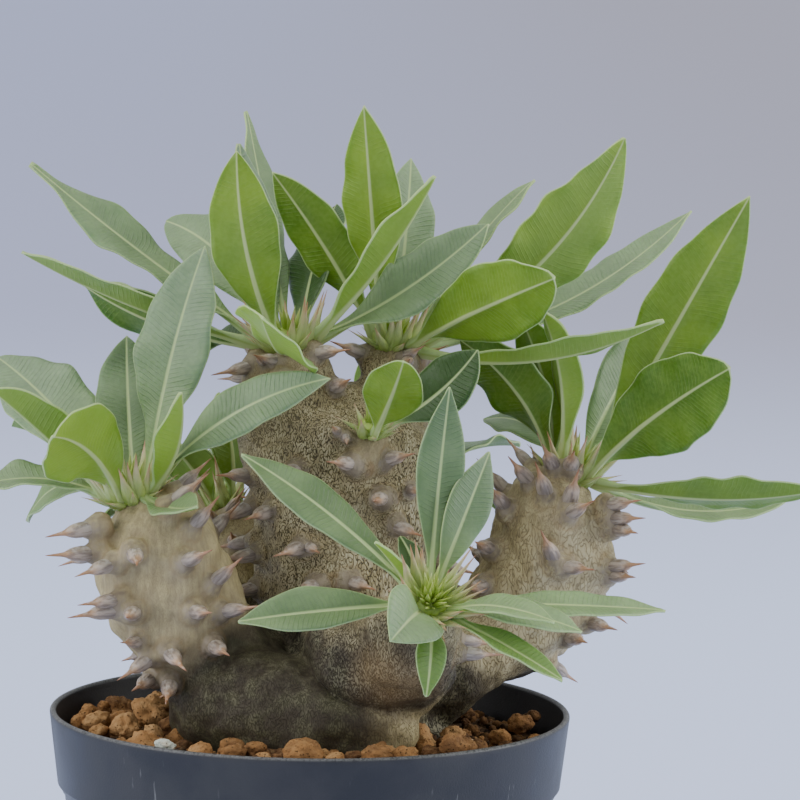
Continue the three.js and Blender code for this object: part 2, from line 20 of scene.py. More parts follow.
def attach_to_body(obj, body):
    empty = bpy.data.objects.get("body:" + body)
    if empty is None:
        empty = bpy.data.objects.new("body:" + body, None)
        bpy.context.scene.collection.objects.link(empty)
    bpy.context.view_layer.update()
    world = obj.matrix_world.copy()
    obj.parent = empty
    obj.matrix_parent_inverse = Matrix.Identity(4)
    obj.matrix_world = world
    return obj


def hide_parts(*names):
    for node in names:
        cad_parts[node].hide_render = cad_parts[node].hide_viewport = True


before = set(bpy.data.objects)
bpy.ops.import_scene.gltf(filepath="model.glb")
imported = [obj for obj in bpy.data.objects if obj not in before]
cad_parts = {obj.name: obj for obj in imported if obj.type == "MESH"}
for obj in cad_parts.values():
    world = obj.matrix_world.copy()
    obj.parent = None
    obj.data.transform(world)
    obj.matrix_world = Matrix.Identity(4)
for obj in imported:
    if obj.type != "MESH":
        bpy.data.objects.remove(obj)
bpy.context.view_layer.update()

log = logging.getLogger("potted_plant")

Colour = tuple[float, float, float]
Row = tuple[float, ...]
Array = np.ndarray

MM = 0.001
TAU = 2 * math.pi
GOLDEN_ANGLE = math.pi * (3 - math.sqrt(5))
UP = np.array([0.0, 0.0, 1.0])

# Driving sizes of the pot and the soil, as in the part's drawing.
POT_HEIGHT = 90.0
RIM_RADIUS = 52.5
BAND_HEIGHT = 15.0
BAND_TAPER = 1.7
BAND_STEP = 1.5
STEP_HEIGHT = 2.0
BASE_RADIUS = 39.0
BASE_CHAMFER = 1.2
WALL = 1.3
FLOOR_FILLET = 1.0
DRAIN_HOLES = 6
DRAIN_RADIUS = 4.0
DRAIN_CIRCLE = 27.0
BAND_LOW = POT_HEIGHT - BAND_HEIGHT
STEP_LOW = BAND_LOW - STEP_HEIGHT
BAND_RADIUS = RIM_RADIUS - BAND_TAPER
NECK_RADIUS = BAND_RADIUS - BAND_STEP
SOIL_LEVEL = 85.6
SOIL_RISE = 2.4
SOIL_GAP = 0.35

# Driving sizes of a leaf, as in the part's drawing.
STALK_HALF_WIDTH = 0.9
WAVES_ALONG_LEAF = 2.6
TWIST_SHARE = 0.42
RIPPLE_ONSET = 0.25
BLADE_LEAN = 1.3
WEDGE = 1.25
TIP_START = 0.9
TIP_SPAN = 0.101
TIP_HALF_WIDTH = 0.09
LEAF_ROOT = 0.72
LEAF_INWARD = 0.9

# Driving sizes of the spines, as in the part's drawing.
SPINE_LENGTH = 9.2
SPINE_LOW = 90.5
PAIR_SPREAD = math.radians(17)
PAIR_ON_RADIUS = 13.0
PAIR_WIDEST = 0.5
PAIR_FAN = 1.9
PAIR_SUNK = 0.4
PAIR_TOP = 0.9
SPINE_DROOP = 0.16
SPINE_LIFT = 0.35
SPINE_SMALL = 0.8
SPINE_GROWTH = 0.25
STEM_END = 0.35
STEM_LOBES = ((0.035, 3, 9), (0.02, 5, -7))


def unit(vectors: Array) -> Array:
    """Returns vectors scaled to length one along their last axis."""
    return vectors / np.linalg.norm(vectors, axis=-1, keepdims=True)


def smooth_step(values: Array, low: float, high: float) -> Array:
    """Returns 0 below low and 1 above high, with a smooth rise between them."""
    share = np.clip((values - low) / (high - low), 0, 1)
    return share * share * (3 - 2 * share)


def square_to(direction: Array) -> tuple[Array, Array]:
    """Returns two unit vectors square to a direction, turning counterclockwise about it.

    Args:
        direction: The direction.

    Returns:
        The two vectors.
    """
    hint = UP if abs(direction[2]) < 0.95 else np.array([0.0, -1.0, 0.0])
    side = unit(np.cross(hint, direction))
    return side, np.cross(direction, side)


def on_circle(center: Array, direction: Array, radius: Array, angle: Array) -> Array:
    """Returns points on a circle about a centre, square to a direction.

    Args:
        center: The circle's centre, or one centre per point.
        direction: The circle's axis.
        radius: The radius, or one radius per point.
        angle: The angle, or one angle per point.

    Returns:
        The points, one per angle.
    """
    side, rise = square_to(direction)
    radius, angle = np.asarray(radius)[..., None], np.asarray(angle)[..., None]
    return center + side * radius * np.cos(angle) + rise * radius * np.sin(angle)


def along_spline(points: Array, shares: Array) -> Array:
    """Samples the centripetal Catmull-Rom spline through the points.

    Args:
        points: The points, one per row.
        shares: Where to sample, from 0 at the first point to 1 at the last.

    Returns:
        The sampled points, one per share.
    """
    last = len(points) - 1
    ends = np.vstack([2 * points[0] - points[1], points, 2 * points[last] - points[last - 1]])
    place = np.clip(np.asarray(shares, float) * last, 0, last)
    span = np.minimum(place.astype(int), last - 1)
    t = (place - span)[:, None]
    p0, p1, p2, p3 = (ends[span + i] for i in range(4))
    pairs = ((p0, p1), (p1, p2), (p2, p3))
    d0, d1, d2 = (np.linalg.norm(b - a, axis=1)[:, None] ** 0.5 for a, b in pairs)
    d1 = np.where(d1 < 1e-4, 1, d1)
    d0 = np.where(d0 < 1e-4, d1, d0)
    d2 = np.where(d2 < 1e-4, d1, d2)
    leave = ((p1 - p0) / d0 - (p2 - p0) / (d0 + d1) + (p2 - p1) / d1) * d1
    arrive = ((p2 - p1) / d1 - (p3 - p1) / (d1 + d2) + (p3 - p2) / d2) * d1
    square = -3 * p1 + 3 * p2 - 2 * leave - arrive
    cube = 2 * p1 - 2 * p2 + leave + arrive
    return p1 + leave * t + square * t**2 + cube * t**3


class Lumps:
    """A smooth uneven field made of plane waves, the same on every run."""

    def __init__(self, wavelength: float, seed: int, waves: int = 14) -> None:
        """Draws the waves.

        Args:
            wavelength: The usual distance between two crests.
            seed: The seed of the draw.
            waves: How many waves are added up.
        """
        draw = default_rng(seed)
        lengths = wavelength * draw.uniform(0.7, 1.4, (waves, 1))
        self.waves = unit(draw.normal(size=(waves, 3))) * TAU / lengths
        self.phases = draw.uniform(0, TAU, waves)

    def at(self, points: Array) -> Array:
        """Returns the field at each point, mostly between -2 and 2."""
        return np.sin(points @ self.waves.T + self.phases).sum(axis=1) * math.sqrt(2 / len(self.phases))


def nearest(points: Array, spots: Iterable[Array], limit: float = 9.0) -> Array:
    """Returns how far each point is from the nearest of some spots, up to a limit."""
    away = np.full(len(points), limit)
    for spot in spots:
        away = np.minimum(away, np.linalg.norm(points - spot, axis=1))
    return away


class Axis(IntEnum):
    """The axes of the part, as the columns of its points."""

    X = 0
    Y = 1
    Z = 2


@dataclass(frozen=True)
class Zone:
    """A part of the body, and how strong its look is.

    Each bound is an axis, and where along it the look starts and where it is full.
    """

    strength: float
    bounds: tuple[tuple[Axis, float, float], ...]

    def at(self, points: Array) -> Array:
        """Returns the look's strength at each point, full inside every bound."""
        rises = [smooth_step(points[:, axis], start, full) for axis, start, full in self.bounds]
        return self.strength * np.prod(rises, axis=0)


@dataclass(frozen=True)
class Patch:
    """A round part of the body with a soft edge, and how strong its look is."""

    strength: float
    middle: tuple[float, float, float]
    radius: float

    def at(self, points: Array) -> Array:
        """Returns the look's strength at each point, full in the middle."""
        away = np.linalg.norm(points - np.array(self.middle), axis=1)
        return self.strength * np.exp(-((away / self.radius) ** 4))


def deselect_all() -> None:
    """Deselects every object, so that the next operator acts on its own piece only."""
    bpy.ops.object.select_all(action="DESELECT")


def make_active(piece: Object) -> None:
    """Selects one object alone and makes it active."""
    deselect_all()
    piece.select_set(True)
    bpy.context.view_layer.objects.active = piece


def points_of(piece: Object) -> Array:
    """Returns a piece's vertices as rows of x, y, z, in the mesh's own units."""
    flat = np.empty(len(piece.data.vertices) * 3)
    piece.data.vertices.foreach_get("co", flat)
    return flat.reshape(-1, 3)


def set_points(piece: Object, points: Array) -> None:
    """Moves a piece's vertices to points given in millimetres."""
    piece.data.vertices.foreach_set("co", (points * MM).ravel())
    piece.data.update()


def normals_of(piece: Object) -> Array:
    """Returns the normal at each vertex of a piece."""
    flat = np.empty(len(piece.data.vertices) * 3)
    piece.data.vertices.foreach_get("normal", flat)
    return flat.reshape(-1, 3)


def mark(piece: Object, name: str, values: Array) -> None:
    """Stores one number or one vector per vertex under a name that the materials read.

    Args:
        piece: The piece to mark.
        name: The attribute's name.
        values: One row per vertex, of one or three numbers.
    """
    vector = values.ndim == 2
    layer = piece.data.attributes.new(name, "FLOAT_VECTOR" if vector else "FLOAT", "POINT")
    flat = np.ascontiguousarray(values, np.float32).ravel()
    layer.data.foreach_set("vector" if vector else "value", flat)


def mark_all(piece: Object, name: str, value: float) -> None:
    """Stores the same number at every vertex of a piece."""
    mark(piece, name, np.full(len(piece.data.vertices), value))


def wear(piece: Object, material: Material) -> None:
    """Gives a piece one material in place of any that it has."""
    piece.data.materials.clear()
    piece.data.materials.append(material)


def copy_of(blank: Object, name: str) -> Object:
    """Copies a blank with its own mesh.

    Args:
        blank: The piece to copy.
        name: The copy's name.

    Returns:
        The copy.
    """
    piece = blank.copy()
    piece.data = blank.data.copy()
    piece.name = name
    piece.data.name = name
    bpy.context.collection.objects.link(piece)
    return piece


def scrap(piece: Object) -> None:
    """Removes a blank or a cutter that has done its work."""
    mesh = piece.data
    bpy.data.objects.remove(piece)
    bpy.data.meshes.remove(mesh)


def join(parts: list[Object], name: str) -> Object:
    """Joins parts into one piece.

    Args:
        parts: The parts, of which the first keeps its materials' order.
        name: The name of the joined piece.

    Returns:
        The joined piece.
    """
    make_active(parts[0])
    for part in parts:
        part.select_set(True)
    if len(parts) > 1:
        bpy.ops.object.join()
    whole = bpy.context.view_layer.objects.active
    whole.name = name
    whole.data.name = name
    return whole


def finish_with(piece: Object, kind: str, **settings: object) -> None:
    """Adds a modifier to a piece and applies it.

    Args:
        piece: The piece to change.
        kind: The modifier's type.
        **settings: The modifier's values.
    """
    make_active(piece)
    modifier = piece.modifiers.new(kind.title(), kind)
    for name, value in settings.items():
        setattr(modifier, name, value)
    bpy.ops.object.modifier_apply(modifier=modifier.name)


def smooth_shade(piece: Object, angle: float = 180.0) -> None:
    """Shades a piece smooth, but for edges sharper than an angle in degrees."""
    make_active(piece)
    if angle < 180:
        bpy.ops.object.shade_smooth_by_angle(angle=math.radians(angle))
    else:
        bpy.ops.object.shade_smooth()


def extrude_up() -> None:
    """Extrudes what is selected in edit mode one unit upwards."""
    bpy.ops.mesh.extrude_region_move(TRANSFORM_OT_translate={"value": (0, 0, 1), "orient_type": "GLOBAL"})


def close_up() -> None:
    """Turns all faces of the mesh in edit mode outwards and leaves edit mode."""
    bpy.ops.mesh.select_all(action="SELECT")
    bpy.ops.mesh.normals_make_consistent(inside=False)
    bpy.ops.object.mode_set(mode="OBJECT")


def extruded_tube(name: str, columns: int, rings: int) -> Object:
    """Extrudes a circle upwards into a closed straight tube, one unit a ring.

    Args:
        name: The name of the tube.
        columns: The points in a ring, a multiple of four.
        rings: The number of rings.

    Returns:
        The tube, a blank that shape_rings gives its form.
    """
    deselect_all()
    bpy.ops.mesh.primitive_circle_add(vertices=columns, radius=1, fill_type="NGON", location=(0, 0, 0))
    tube = bpy.context.object
    tube.name = name
    bpy.ops.object.mode_set(mode="EDIT")
    bpy.ops.mesh.select_all(action="SELECT")
    for _ in range(rings - 1):
        extrude_up()
    close_up()
    return tube


def shape_rings(tube: Object, rings: Array) -> None:
    """Gives a straight tube its form: a vertex's height says its ring, its angle its column.

    Args:
        tube: A blank from extruded_tube.
        rings: The points, in millimetres, as rings by columns by three.
    """
    blank = points_of(tube)
    columns = rings.shape[1]
    ring = np.rint(blank[:, 2]).astype(int)
    column = np.rint(np.arctan2(blank[:, 1], blank[:, 0]) * columns / TAU).astype(int) % columns
    set_points(tube, rings[ring, column])


def turned(profile: list[tuple[float, float]], columns: int) -> Array:
    """Returns the rings of a profile of radius and height turned about the upright axis."""
    angles = np.arange(columns) * TAU / columns
    return np.array([[(r * math.cos(a), r * math.sin(a), z) for a in angles] for r, z in profile])


def rounded(center: tuple[float, float], radius: float, start: float, end: float, steps: int) -> list:
    """Returns an arc of a profile, its angles in degrees and counted from outwards to upwards."""
    angles = np.radians(np.linspace(start, end, steps))
    return [(center[0] + radius * math.cos(a), center[1] + radius * math.sin(a)) for a in angles]


class Socket(Enum):
    """The kinds of socket on a shared shader group."""

    NUMBER = "NodeSocketFloat"
    VECTOR = "NodeSocketVector"


class Wiring:
    """Adds nodes to one tree, a material's or a shared group's, and joins them up."""

    def __init__(self, tree: NodeTree) -> None:
        """Keeps the tree to work in."""
        self.tree = tree

    def add(self, kind: str, inputs: dict | None = None, **settings: object) -> Node:
        """Adds a node.

        Args:
            kind: The node's type.
            inputs: A value or another node's output for each named or numbered input.
            **settings: The node's own settings.

        Returns:
            The node.
        """
        node = self.tree.nodes.new(kind)
        for name, value in settings.items():
            setattr(node, name, value)
        for name, value in (inputs or {}).items():
            self.feed(node.inputs[name], value)
        return node

    def feed(self, socket: NodeSocket, value: object) -> None:
        """Gives an input its value, or links it to another node's output."""
        if isinstance(value, NodeSocket):
            self.tree.links.new(value, socket)
        elif isinstance(value, tuple) and socket.type == "RGBA":
            socket.default_value = (*value, 1)
        else:
            socket.default_value = value

    def math(self, operation: str, a: object, b: object = 0.0) -> NodeSocket:
        """Returns the result of a Math node on two numbers or outputs."""
        return self.add("ShaderNodeMath", {0: a, 1: b}, operation=operation).outputs[0]

    def times(self, a: object, b: object) -> NodeSocket:
        """Returns a times b."""
        return self.math("MULTIPLY", a, b)

    def plus(self, a: object, b: object) -> NodeSocket:
        """Returns a plus b."""
        return self.math("ADD", a, b)

    def minus(self, a: object, b: object) -> NodeSocket:
        """Returns a minus b."""
        return self.math("SUBTRACT", a, b)

    def rest(self, share: object) -> NodeSocket:
        """Returns what is left of 1 after a share."""
        return self.minus(1.0, share)

    def mix(self, factor: object, a: object, b: object) -> NodeSocket:
        """Returns colour b laid over colour a by a factor."""
        node = self.add("ShaderNodeMix", data_type="RGBA")
        for index, value in ((0, factor), (6, a), (7, b)):
            self.feed(node.inputs[index], value)
        return node.outputs[2]

    def step(self, value: object, low: float, high: float) -> NodeSocket:
        """Returns 0 below low and 1 above high, with a smooth rise between them."""
        inputs = {"Value": value, "From Min": low, "From Max": high}
        return self.add("ShaderNodeMapRange", inputs, interpolation_type="SMOOTHSTEP").outputs[0]

    def noise(self, place: object, scale: object, detail: float = 2.0) -> NodeSocket:
        """Returns a cloudy pattern from 0 to 1."""
        inputs = {"Vector": place, "Scale": scale, "Detail": detail}
        return self.add("ShaderNodeTexNoise", inputs).outputs[0]

    def scaled(self, place: object, scale: tuple[float, float, float]) -> NodeSocket:
        """Returns a place stretched or squeezed along its axes."""
        node = self.add("ShaderNodeVectorMath", {0: place, 1: scale}, operation="MULTIPLY")
        return node.outputs[0]

    def apart(self, vector: object) -> NodeOutputs:
        """Returns the three numbers of a vector."""
        return self.add("ShaderNodeSeparateXYZ", {0: vector}).outputs

    def marked(self, name: str) -> NodeSocket:
        """Returns the vector that each vertex holds under a name."""
        return self.add("ShaderNodeAttribute", attribute_name=name).outputs["Vector"]

    def marked_number(self, name: str) -> NodeSocket:
        """Returns the number that each vertex holds under a name."""
        return self.add("ShaderNodeAttribute", attribute_name=name).outputs["Fac"]

    def place(self) -> NodeSocket:
        """Returns the place on the piece, in metres."""
        return self.add("ShaderNodeTexCoord").outputs["Object"]

    def bump(self, height: object, depth: float) -> NodeSocket:
        """Returns a normal roughened by a height, its full range so many millimetres deep."""
        inputs = {"Height": height, "Strength": 1.0, "Distance": depth * MM}
        return self.add("ShaderNodeBump", inputs).outputs[0]

    def ramp(self, value: object, stops: list[tuple[float, Colour]]) -> NodeSocket:
        """Returns a colour picked along a row of stops."""
        node = self.add("ShaderNodeValToRGB", {0: value})
        elements = node.color_ramp.elements
        elements[0].position, elements[0].color = stops[0][0], (*stops[0][1], 1)
        elements[1].position, elements[1].color = stops[-1][0], (*stops[-1][1], 1)
        for position, colour in stops[1:-1]:
            elements.new(position).color = (*colour, 1)
        return node.outputs[0]


def shared_group(
    name: str, inputs: dict[str, tuple[Socket, object]], outputs: dict[str, Socket]
) -> tuple[Wiring, NodeOutputs, NodeInputs]:
    """Starts a shader group that several materials use.

    Args:
        name: The group's name.
        inputs: The kind and the usual value of each input.
        outputs: The kind of each output.

    Returns:
        The group's wiring, what it takes in and what it gives out.
    """
    tree = bpy.data.node_groups.new(name, "ShaderNodeTree")
    for key, (kind, usual) in inputs.items():
        socket = tree.interface.new_socket(name=key, in_out="INPUT", socket_type=kind.value)
        socket.default_value = usual
    for key, kind in outputs.items():
        tree.interface.new_socket(name=key, in_out="OUTPUT", socket_type=kind.value)
    wiring = Wiring(tree)
    return wiring, wiring.add("NodeGroupInput").outputs, wiring.add("NodeGroupOutput").inputs


class Effects:
    """The shader groups that the finishes share, each made once."""

    def __init__(self) -> None:
        """Makes the groups."""
        self.mottle = self._mottle()
        self.wrinkles = self._wrinkles()
        self.leaf_marks = self._leaf_marks()
        self.pores = self._pores()
        self.dust_and_sheen = self._dust_and_sheen()

    def _mottle(self) -> NodeTree:
        """Soft blotches of a given size in millimetres, with a finer break-up over them."""
        w, given, result = shared_group(
            "mottle",
            {"Place": (Socket.VECTOR, (0, 0, 0)), "Size": (Socket.NUMBER, 6.0)},
            {"Mask": Socket.NUMBER},
        )
        scale = w.math("DIVIDE", 1 / MM, given["Size"])
        cloud = w.noise(given["Place"], scale, 4.0)
        w.feed(result["Mask"], w.step(cloud, 0.34, 0.68))
        return w.tree

    def _wrinkles(self) -> NodeTree:
        """A net of worm-like grooves, mostly upright: Ridge is 0 in a groove, Island 1 between them."""
        w, given, result = shared_group(
            "wrinkles",
            {"Place": (Socket.VECTOR, (0, 0, 0)), "Size": (Socket.NUMBER, 0.7)},
            {"Ridge": Socket.NUMBER, "Island": Socket.NUMBER},
        )
        scale = w.math("DIVIDE", 1 / MM, given["Size"])
        cloud = w.noise(w.scaled(given["Place"], (1, 1, 0.45)), scale, 0.6)
        far = w.math("ABSOLUTE", w.minus(cloud, 0.5))
        w.feed(result["Ridge"], w.step(far, 0.01, 0.06))
        w.feed(result["Island"], w.step(far, 0.06, 0.13))
        return w.tree

    def _leaf_marks(self) -> NodeTree:
        """A leaf's midrib, side veins and margin, from millimetres across, along and in from the edge."""
        w, given, result = shared_group(
            "leaf_marks",
            {
                "Place": (Socket.VECTOR, (0, 0, 0)),
                "Blade": (Socket.VECTOR, (0, 0, 0)),
                "Share": (Socket.NUMBER, 0.5),
                "Spacing": (Socket.NUMBER, 0.95),
                "Rib Width": (Socket.NUMBER, 0.6),
            },
            {"Rib": Socket.NUMBER, "Vein": Socket.NUMBER, "Margin": Socket.NUMBER},
        )
        across, along, inward = w.apart(given["Blade"])
        aside = w.math("ABSOLUTE", across)
        rib_width = w.add(
            "ShaderNodeMapRange", {"Value": given["Share"], "To Min": given["Rib Width"], "To Max": 0.07}
        ).outputs[0]
        past_rib = w.minus(aside, rib_width)
        w.feed(result["Rib"], w.rest(w.step(past_rib, -0.12, 0.22)))
        wander = w.times(w.noise(given["Place"], 220.0, 1.0), 1.3)
        slant = w.minus(along, w.times(aside, 0.38))
        turn = w.plus(w.math("DIVIDE", slant, given["Spacing"]), wander)
        saw = w.math("ABSOLUTE", w.minus(w.math("FRACT", turn), 0.5))
        fade = w.step(past_rib, 0.0, 0.5)
        faint = w.step(w.noise(given["Place"], 150.0, 2.0), 0.3, 0.62)
        shown = w.times(fade, faint)
        w.feed(result["Vein"], w.times(w.step(saw, 0.3, 0.5), shown))
        w.feed(result["Margin"], w.rest(w.step(inward, 0.05, 0.27)))
        return w.tree

    def _pores(self) -> NodeTree:
        """Rough crumb with small dark holes: Height is the relief, Hole 1 in a hole."""
        w, given, result = shared_group(
            "pores",
            {"Place": (Socket.VECTOR, (0, 0, 0)), "Size": (Socket.NUMBER, 0.9)},
            {"Height": Socket.NUMBER, "Hole": Socket.NUMBER},
        )
        scale = w.math("DIVIDE", 1 / MM, given["Size"])
        cells = w.add("ShaderNodeTexVoronoi", {"Vector": given["Place"], "Scale": scale})
        crumb = w.noise(given["Place"], scale, 5.0)
        hole = w.times(w.step(cells.outputs["Distance"], 0.32, 0.12), w.step(crumb, 0.46, 0.56))
        w.feed(result["Hole"], hole)
        w.feed(result["Height"], w.minus(crumb, w.times(hole, 0.7)))
        return w.tree

    def _dust_and_sheen(self) -> NodeTree:
        """Pale dust on faces that look upwards, broken up by a fine cloud; on the spines the same mask is a
        painted highlight on their tops.
        """
        w, given, result = shared_group(
            "dust_and_sheen",
            {"Place": (Socket.VECTOR, (0, 0, 0)), "Amount": (Socket.NUMBER, 0.3)},
            {"Mask": Socket.NUMBER},
        )
        lift = w.apart(w.add("ShaderNodeNewGeometry").outputs["Normal"])[2]
        fine = w.step(w.noise(given["Place"], 900.0, 3.0), 0.4, 0.7)
        lying = w.times(w.step(lift, 0.1, 0.95), fine)
        w.feed(result["Mask"], w.times(lying, given["Amount"]))
        return w.tree


class Coat:
    """One material under way: its wiring and its shader."""

    def __init__(self, name: str, **sockets: object) -> None:
        """Starts a material with a plain shader.

        Args:
            name: The material's name.
            **sockets: Values that are the same all over, by socket name with underscores for spaces.
        """
        self.material = bpy.data.materials.new(name)
        self.material.use_nodes = True
        self.material.node_tree.nodes.clear()
        self.wiring = Wiring(self.material.node_tree)
        plain = {key.replace("_", " "): value for key, value in sockets.items()}
        self.shader = self.wiring.add("ShaderNodeBsdfPrincipled", plain)
        output = self.wiring.add("ShaderNodeOutputMaterial")
        self.wiring.feed(output.inputs["Surface"], self.shader.outputs[0])

    def use(self, group: NodeTree, **inputs: object) -> NodeOutputs:
        """Places a shared group and returns its outputs."""
        return self.wiring.add("ShaderNodeGroup", inputs, node_tree=group).outputs

    def done(self, colour: object, roughness: object, normal: object | None = None) -> Material:
        """Links the finished colour, roughness and normal, and returns the material."""
        self.wiring.feed(self.shader.inputs["Base Color"], colour)
        self.wiring.feed(self.shader.inputs["Roughness"], roughness)
        if normal is not None:
            self.wiring.feed(self.shader.inputs["Normal"], normal)
        return self.material


@dataclass(frozen=True)
class LeafFinish:
    """One side of the leaf blades: green with fine side veins, a pale midrib and a thin pale margin."""

    name: str
    dark: Colour
    light: Colour
    cool_dark: Colour
    cool_light: Colour
    lime: Colour
    vein: Colour
    rib: Colour
    edge: Colour
    stalk: Colour
    vein_strength: float
    rib_width: float
    edge_strength: float
    relief: float
    roughness: float
    blotch_size: float = 9.0
    fleck_size: float = 0.9
    tone_share: float = 0.68
    blotch_share: float = 0.22
    fleck_share: float = 0.14
    rib_strength: float = 0.92

    def material(self, effects: Effects) -> Material:
        """Makes the material.

        Args:
            effects: The shared shader groups.

        Returns:
            The material.
        """
        coat = Coat(
            self.name,
            Subsurface_Weight=0.22,
            Subsurface_Radius=(0.8, 1.6, 0.35),
            Subsurface_Scale=0.0009,
            Specular_IOR_Level=0.42,
        )
        w = coat.wiring
        blade = w.marked("blade")
        share, tone, cool = w.apart(w.marked("leaf_tone"))
        marks = w.add(
            "ShaderNodeGroup",
            {"Place": w.place(), "Blade": blade, "Share": share, "Rib Width": self.rib_width},
            node_tree=effects.leaf_marks,
        ).outputs
        blotch = coat.use(effects.mottle, Place=w.place(), Size=self.blotch_size)["Mask"]
        fleck = coat.use(effects.mottle, Place=w.place(), Size=self.fleck_size)["Mask"]
        lightness = w.plus(w.times(tone, self.tone_share), w.times(blotch, self.blotch_share))
        colour = w.mix(lightness, self.dark, self.light)
        # Greyer towards the tip: partly the leaf's own blue-grey, partly a painted sheen.
        grey = w.times(w.math("MAXIMUM", cool, 0.0), w.step(share, 0.05, 0.75))
        colour = w.mix(grey, colour, w.mix(lightness, self.cool_dark, self.cool_light))
        colour = w.mix(w.math("MAXIMUM", w.times(cool, -1.0), 0.0), colour, self.lime)
        colour = w.mix(w.times(fleck, self.fleck_share), colour, self.vein)
        colour = w.mix(w.times(marks["Vein"], self.vein_strength), colour, self.vein)
        colour = w.mix(w.rest(w.step(share, 0.0, 0.26)), colour, self.stalk)
        colour = w.mix(w.times(marks["Rib"], self.rib_strength), colour, self.rib)
        colour = w.mix(w.times(marks["Margin"], self.edge_strength), colour, self.edge)
        height = w.plus(w.times(marks["Vein"], -0.8), w.times(fleck, 0.35))
        gloss = w.plus(w.times(blotch, 0.12), self.roughness)
        return coat.done(colour, gloss, w.bump(height, self.relief))


@dataclass(frozen=True)
class BarkFinish:
    """Grey-brown to khaki bark with a net of fine grooves, grey spine cushions, and a wet stain with moss at
    the foot, with painted shade over the foot and in the crease under the fold.
    """

    khaki: Colour = (0.35, 0.285, 0.13)
    olive: Colour = (0.215, 0.185, 0.05)
    pale: Colour = (0.53, 0.44, 0.22)
    brown: Colour = (0.13, 0.09, 0.05)
    groove: Colour = (0.03, 0.02, 0.01)
    island: Colour = (0.56, 0.51, 0.33)
    cushion: Colour = (0.34, 0.28, 0.20)
    flank: Colour = (0.14, 0.105, 0.072)
    blush: Colour = (0.34, 0.25, 0.17)
    scar: Colour = (0.28, 0.17, 0.065)
    # The dark of the wet stain at the foot, which also paints the shade there and in the crease.
    damp_and_shade: Colour = (0.034, 0.024, 0.013)
    moss: Colour = (0.028, 0.028, 0.011)
    fine_size: float = 0.41
    bold_size: float = 0.62
    blotch_size: float = 11.0
    patch_size: float = 3.2
    streak_size: float = 2.4
    brown_share: float = 0.3
    speck_share: float = 0.6
    speck_damped: float = 0.57
    groove_share: float = 0.88
    scar_share: float = 0.6
    dust_share: float = 0.22
    relief: float = 0.26

    def net(self, coat: Coat, effects: Effects, blotch: NodeSocket) -> tuple[NodeSocket, NodeSocket]:
        """Lays the fine net of grooves, with a bolder one on the near side of the trunk.

        Args:
            coat: The material under way.
            effects: The shared shader groups.
            blotch: Large soft blotches, which make the bold net's edge uneven.

        Returns:
            The ridges, 0 in a groove, and the islands between the grooves.
        """
        w = coat.wiring
        place = w.place()
        fine = coat.use(effects.wrinkles, Place=place, Size=self.fine_size)
        coarse = coat.use(effects.wrinkles, Place=place, Size=self.bold_size)
        x, y, z = w.apart(place)
        bold = w.step(w.plus(z, w.times(blotch, 0.012)), 0.142, 0.131)
        bold = w.times(bold, w.times(w.step(x, 0.001, 0.009), w.step(y, -0.024, -0.018)))
        ridge = w.plus(w.times(coarse["Ridge"], bold), fine["Ridge"])
        ridge = w.minus(ridge, w.times(fine["Ridge"], bold))
        island = w.plus(w.times(coarse["Island"], bold), w.times(fine["Island"], 0.75))
        return ridge, island

    def cushioned(self, coat: Coat, effects: Effects) -> NodeSocket:
        """Mixes the colour of the cushions: horny streaks that turn brown towards the spine.

        Args:
            coat: The material under way.
            effects: The shared shader groups.

        Returns:
            The colour.
        """
        w = coat.wiring
        place = w.scaled(w.place(), (1, 1, 0.5))
        streak = coat.use(effects.mottle, Place=place, Size=self.streak_size)["Mask"]
        horn = w.mix(w.plus(w.times(streak, 0.7), 0.25), self.flank, self.cushion)
        return w.mix(w.step(w.marked_number("along"), 0.3, 0.62), horn, self.blush)

    def material(self, effects: Effects) -> Material:
        """Makes the material.

        Args:
            effects: The shared shader groups.

        Returns:
            The material.
        """
        coat = Coat("bark", Specular_IOR_Level=0.35)
        w = coat.wiring
        place = w.place()
        net, pale, olive = w.apart(w.marked("bark_look"))
        cushion, scar, damp_and_shade = w.apart(w.marked("bark_spots"))
        blotch = coat.use(effects.mottle, Place=place, Size=self.blotch_size)["Mask"]
        patch = coat.use(effects.mottle, Place=place, Size=self.patch_size)["Mask"]
        ridge, island = self.net(coat, effects, blotch)
        bare = w.rest(cushion)
        grooved = w.times(w.rest(ridge), w.times(net, bare))
        specked = w.times(w.times(island, w.plus(patch, 0.2)), net)
        specked = w.times(specked, w.rest(w.times(damp_and_shade, self.speck_damped)))
        colour = w.mix(w.times(blotch, olive), self.khaki, self.olive)
        # The pale look includes painted light on the trunk's left flank and a painted highlight on its front.
        colour = w.mix(pale, colour, self.pale)
        colour = w.mix(w.times(w.rest(patch), self.brown_share), colour, self.brown)
        fibre = w.step(w.noise(w.scaled(place, (1, 1, 0.13)), 1300.0, 3.0), 0.36, 0.62)
        colour = w.mix(w.times(fibre, w.times(w.rest(net), 0.3)), colour, self.brown)
        mossy = w.mix(w.times(w.step(damp_and_shade, 0.94, 1.0), patch), self.damp_and_shade, self.moss)
        # Darkens the foot and the crease: wet stain with painted shade over it.
        colour = w.mix(w.times(damp_and_shade, w.minus(0.975, w.times(patch, 0.06))), colour, mossy)
        colour = w.mix(w.times(specked, self.speck_share), colour, self.island)
        colour = w.mix(w.times(grooved, self.groove_share), colour, self.groove)
        colour = w.mix(cushion, colour, self.cushioned(coat, effects))
        colour = w.mix(w.times(scar, self.scar_share), colour, self.scar)
        dust_and_sheen = coat.use(effects.dust_and_sheen, Place=place, Amount=self.dust_share)["Mask"]
        colour = w.mix(w.times(dust_and_sheen, w.rest(w.times(damp_and_shade, 0.7))), colour, self.island)
        relief = w.times(ridge, w.times(bare, w.plus(net, 0.1)))
        height = w.plus(relief, w.times(patch, 0.3))
        gloss = w.minus(0.66, w.times(cushion, 0.2))
        return coat.done(colour, gloss, w.bump(height, self.relief))


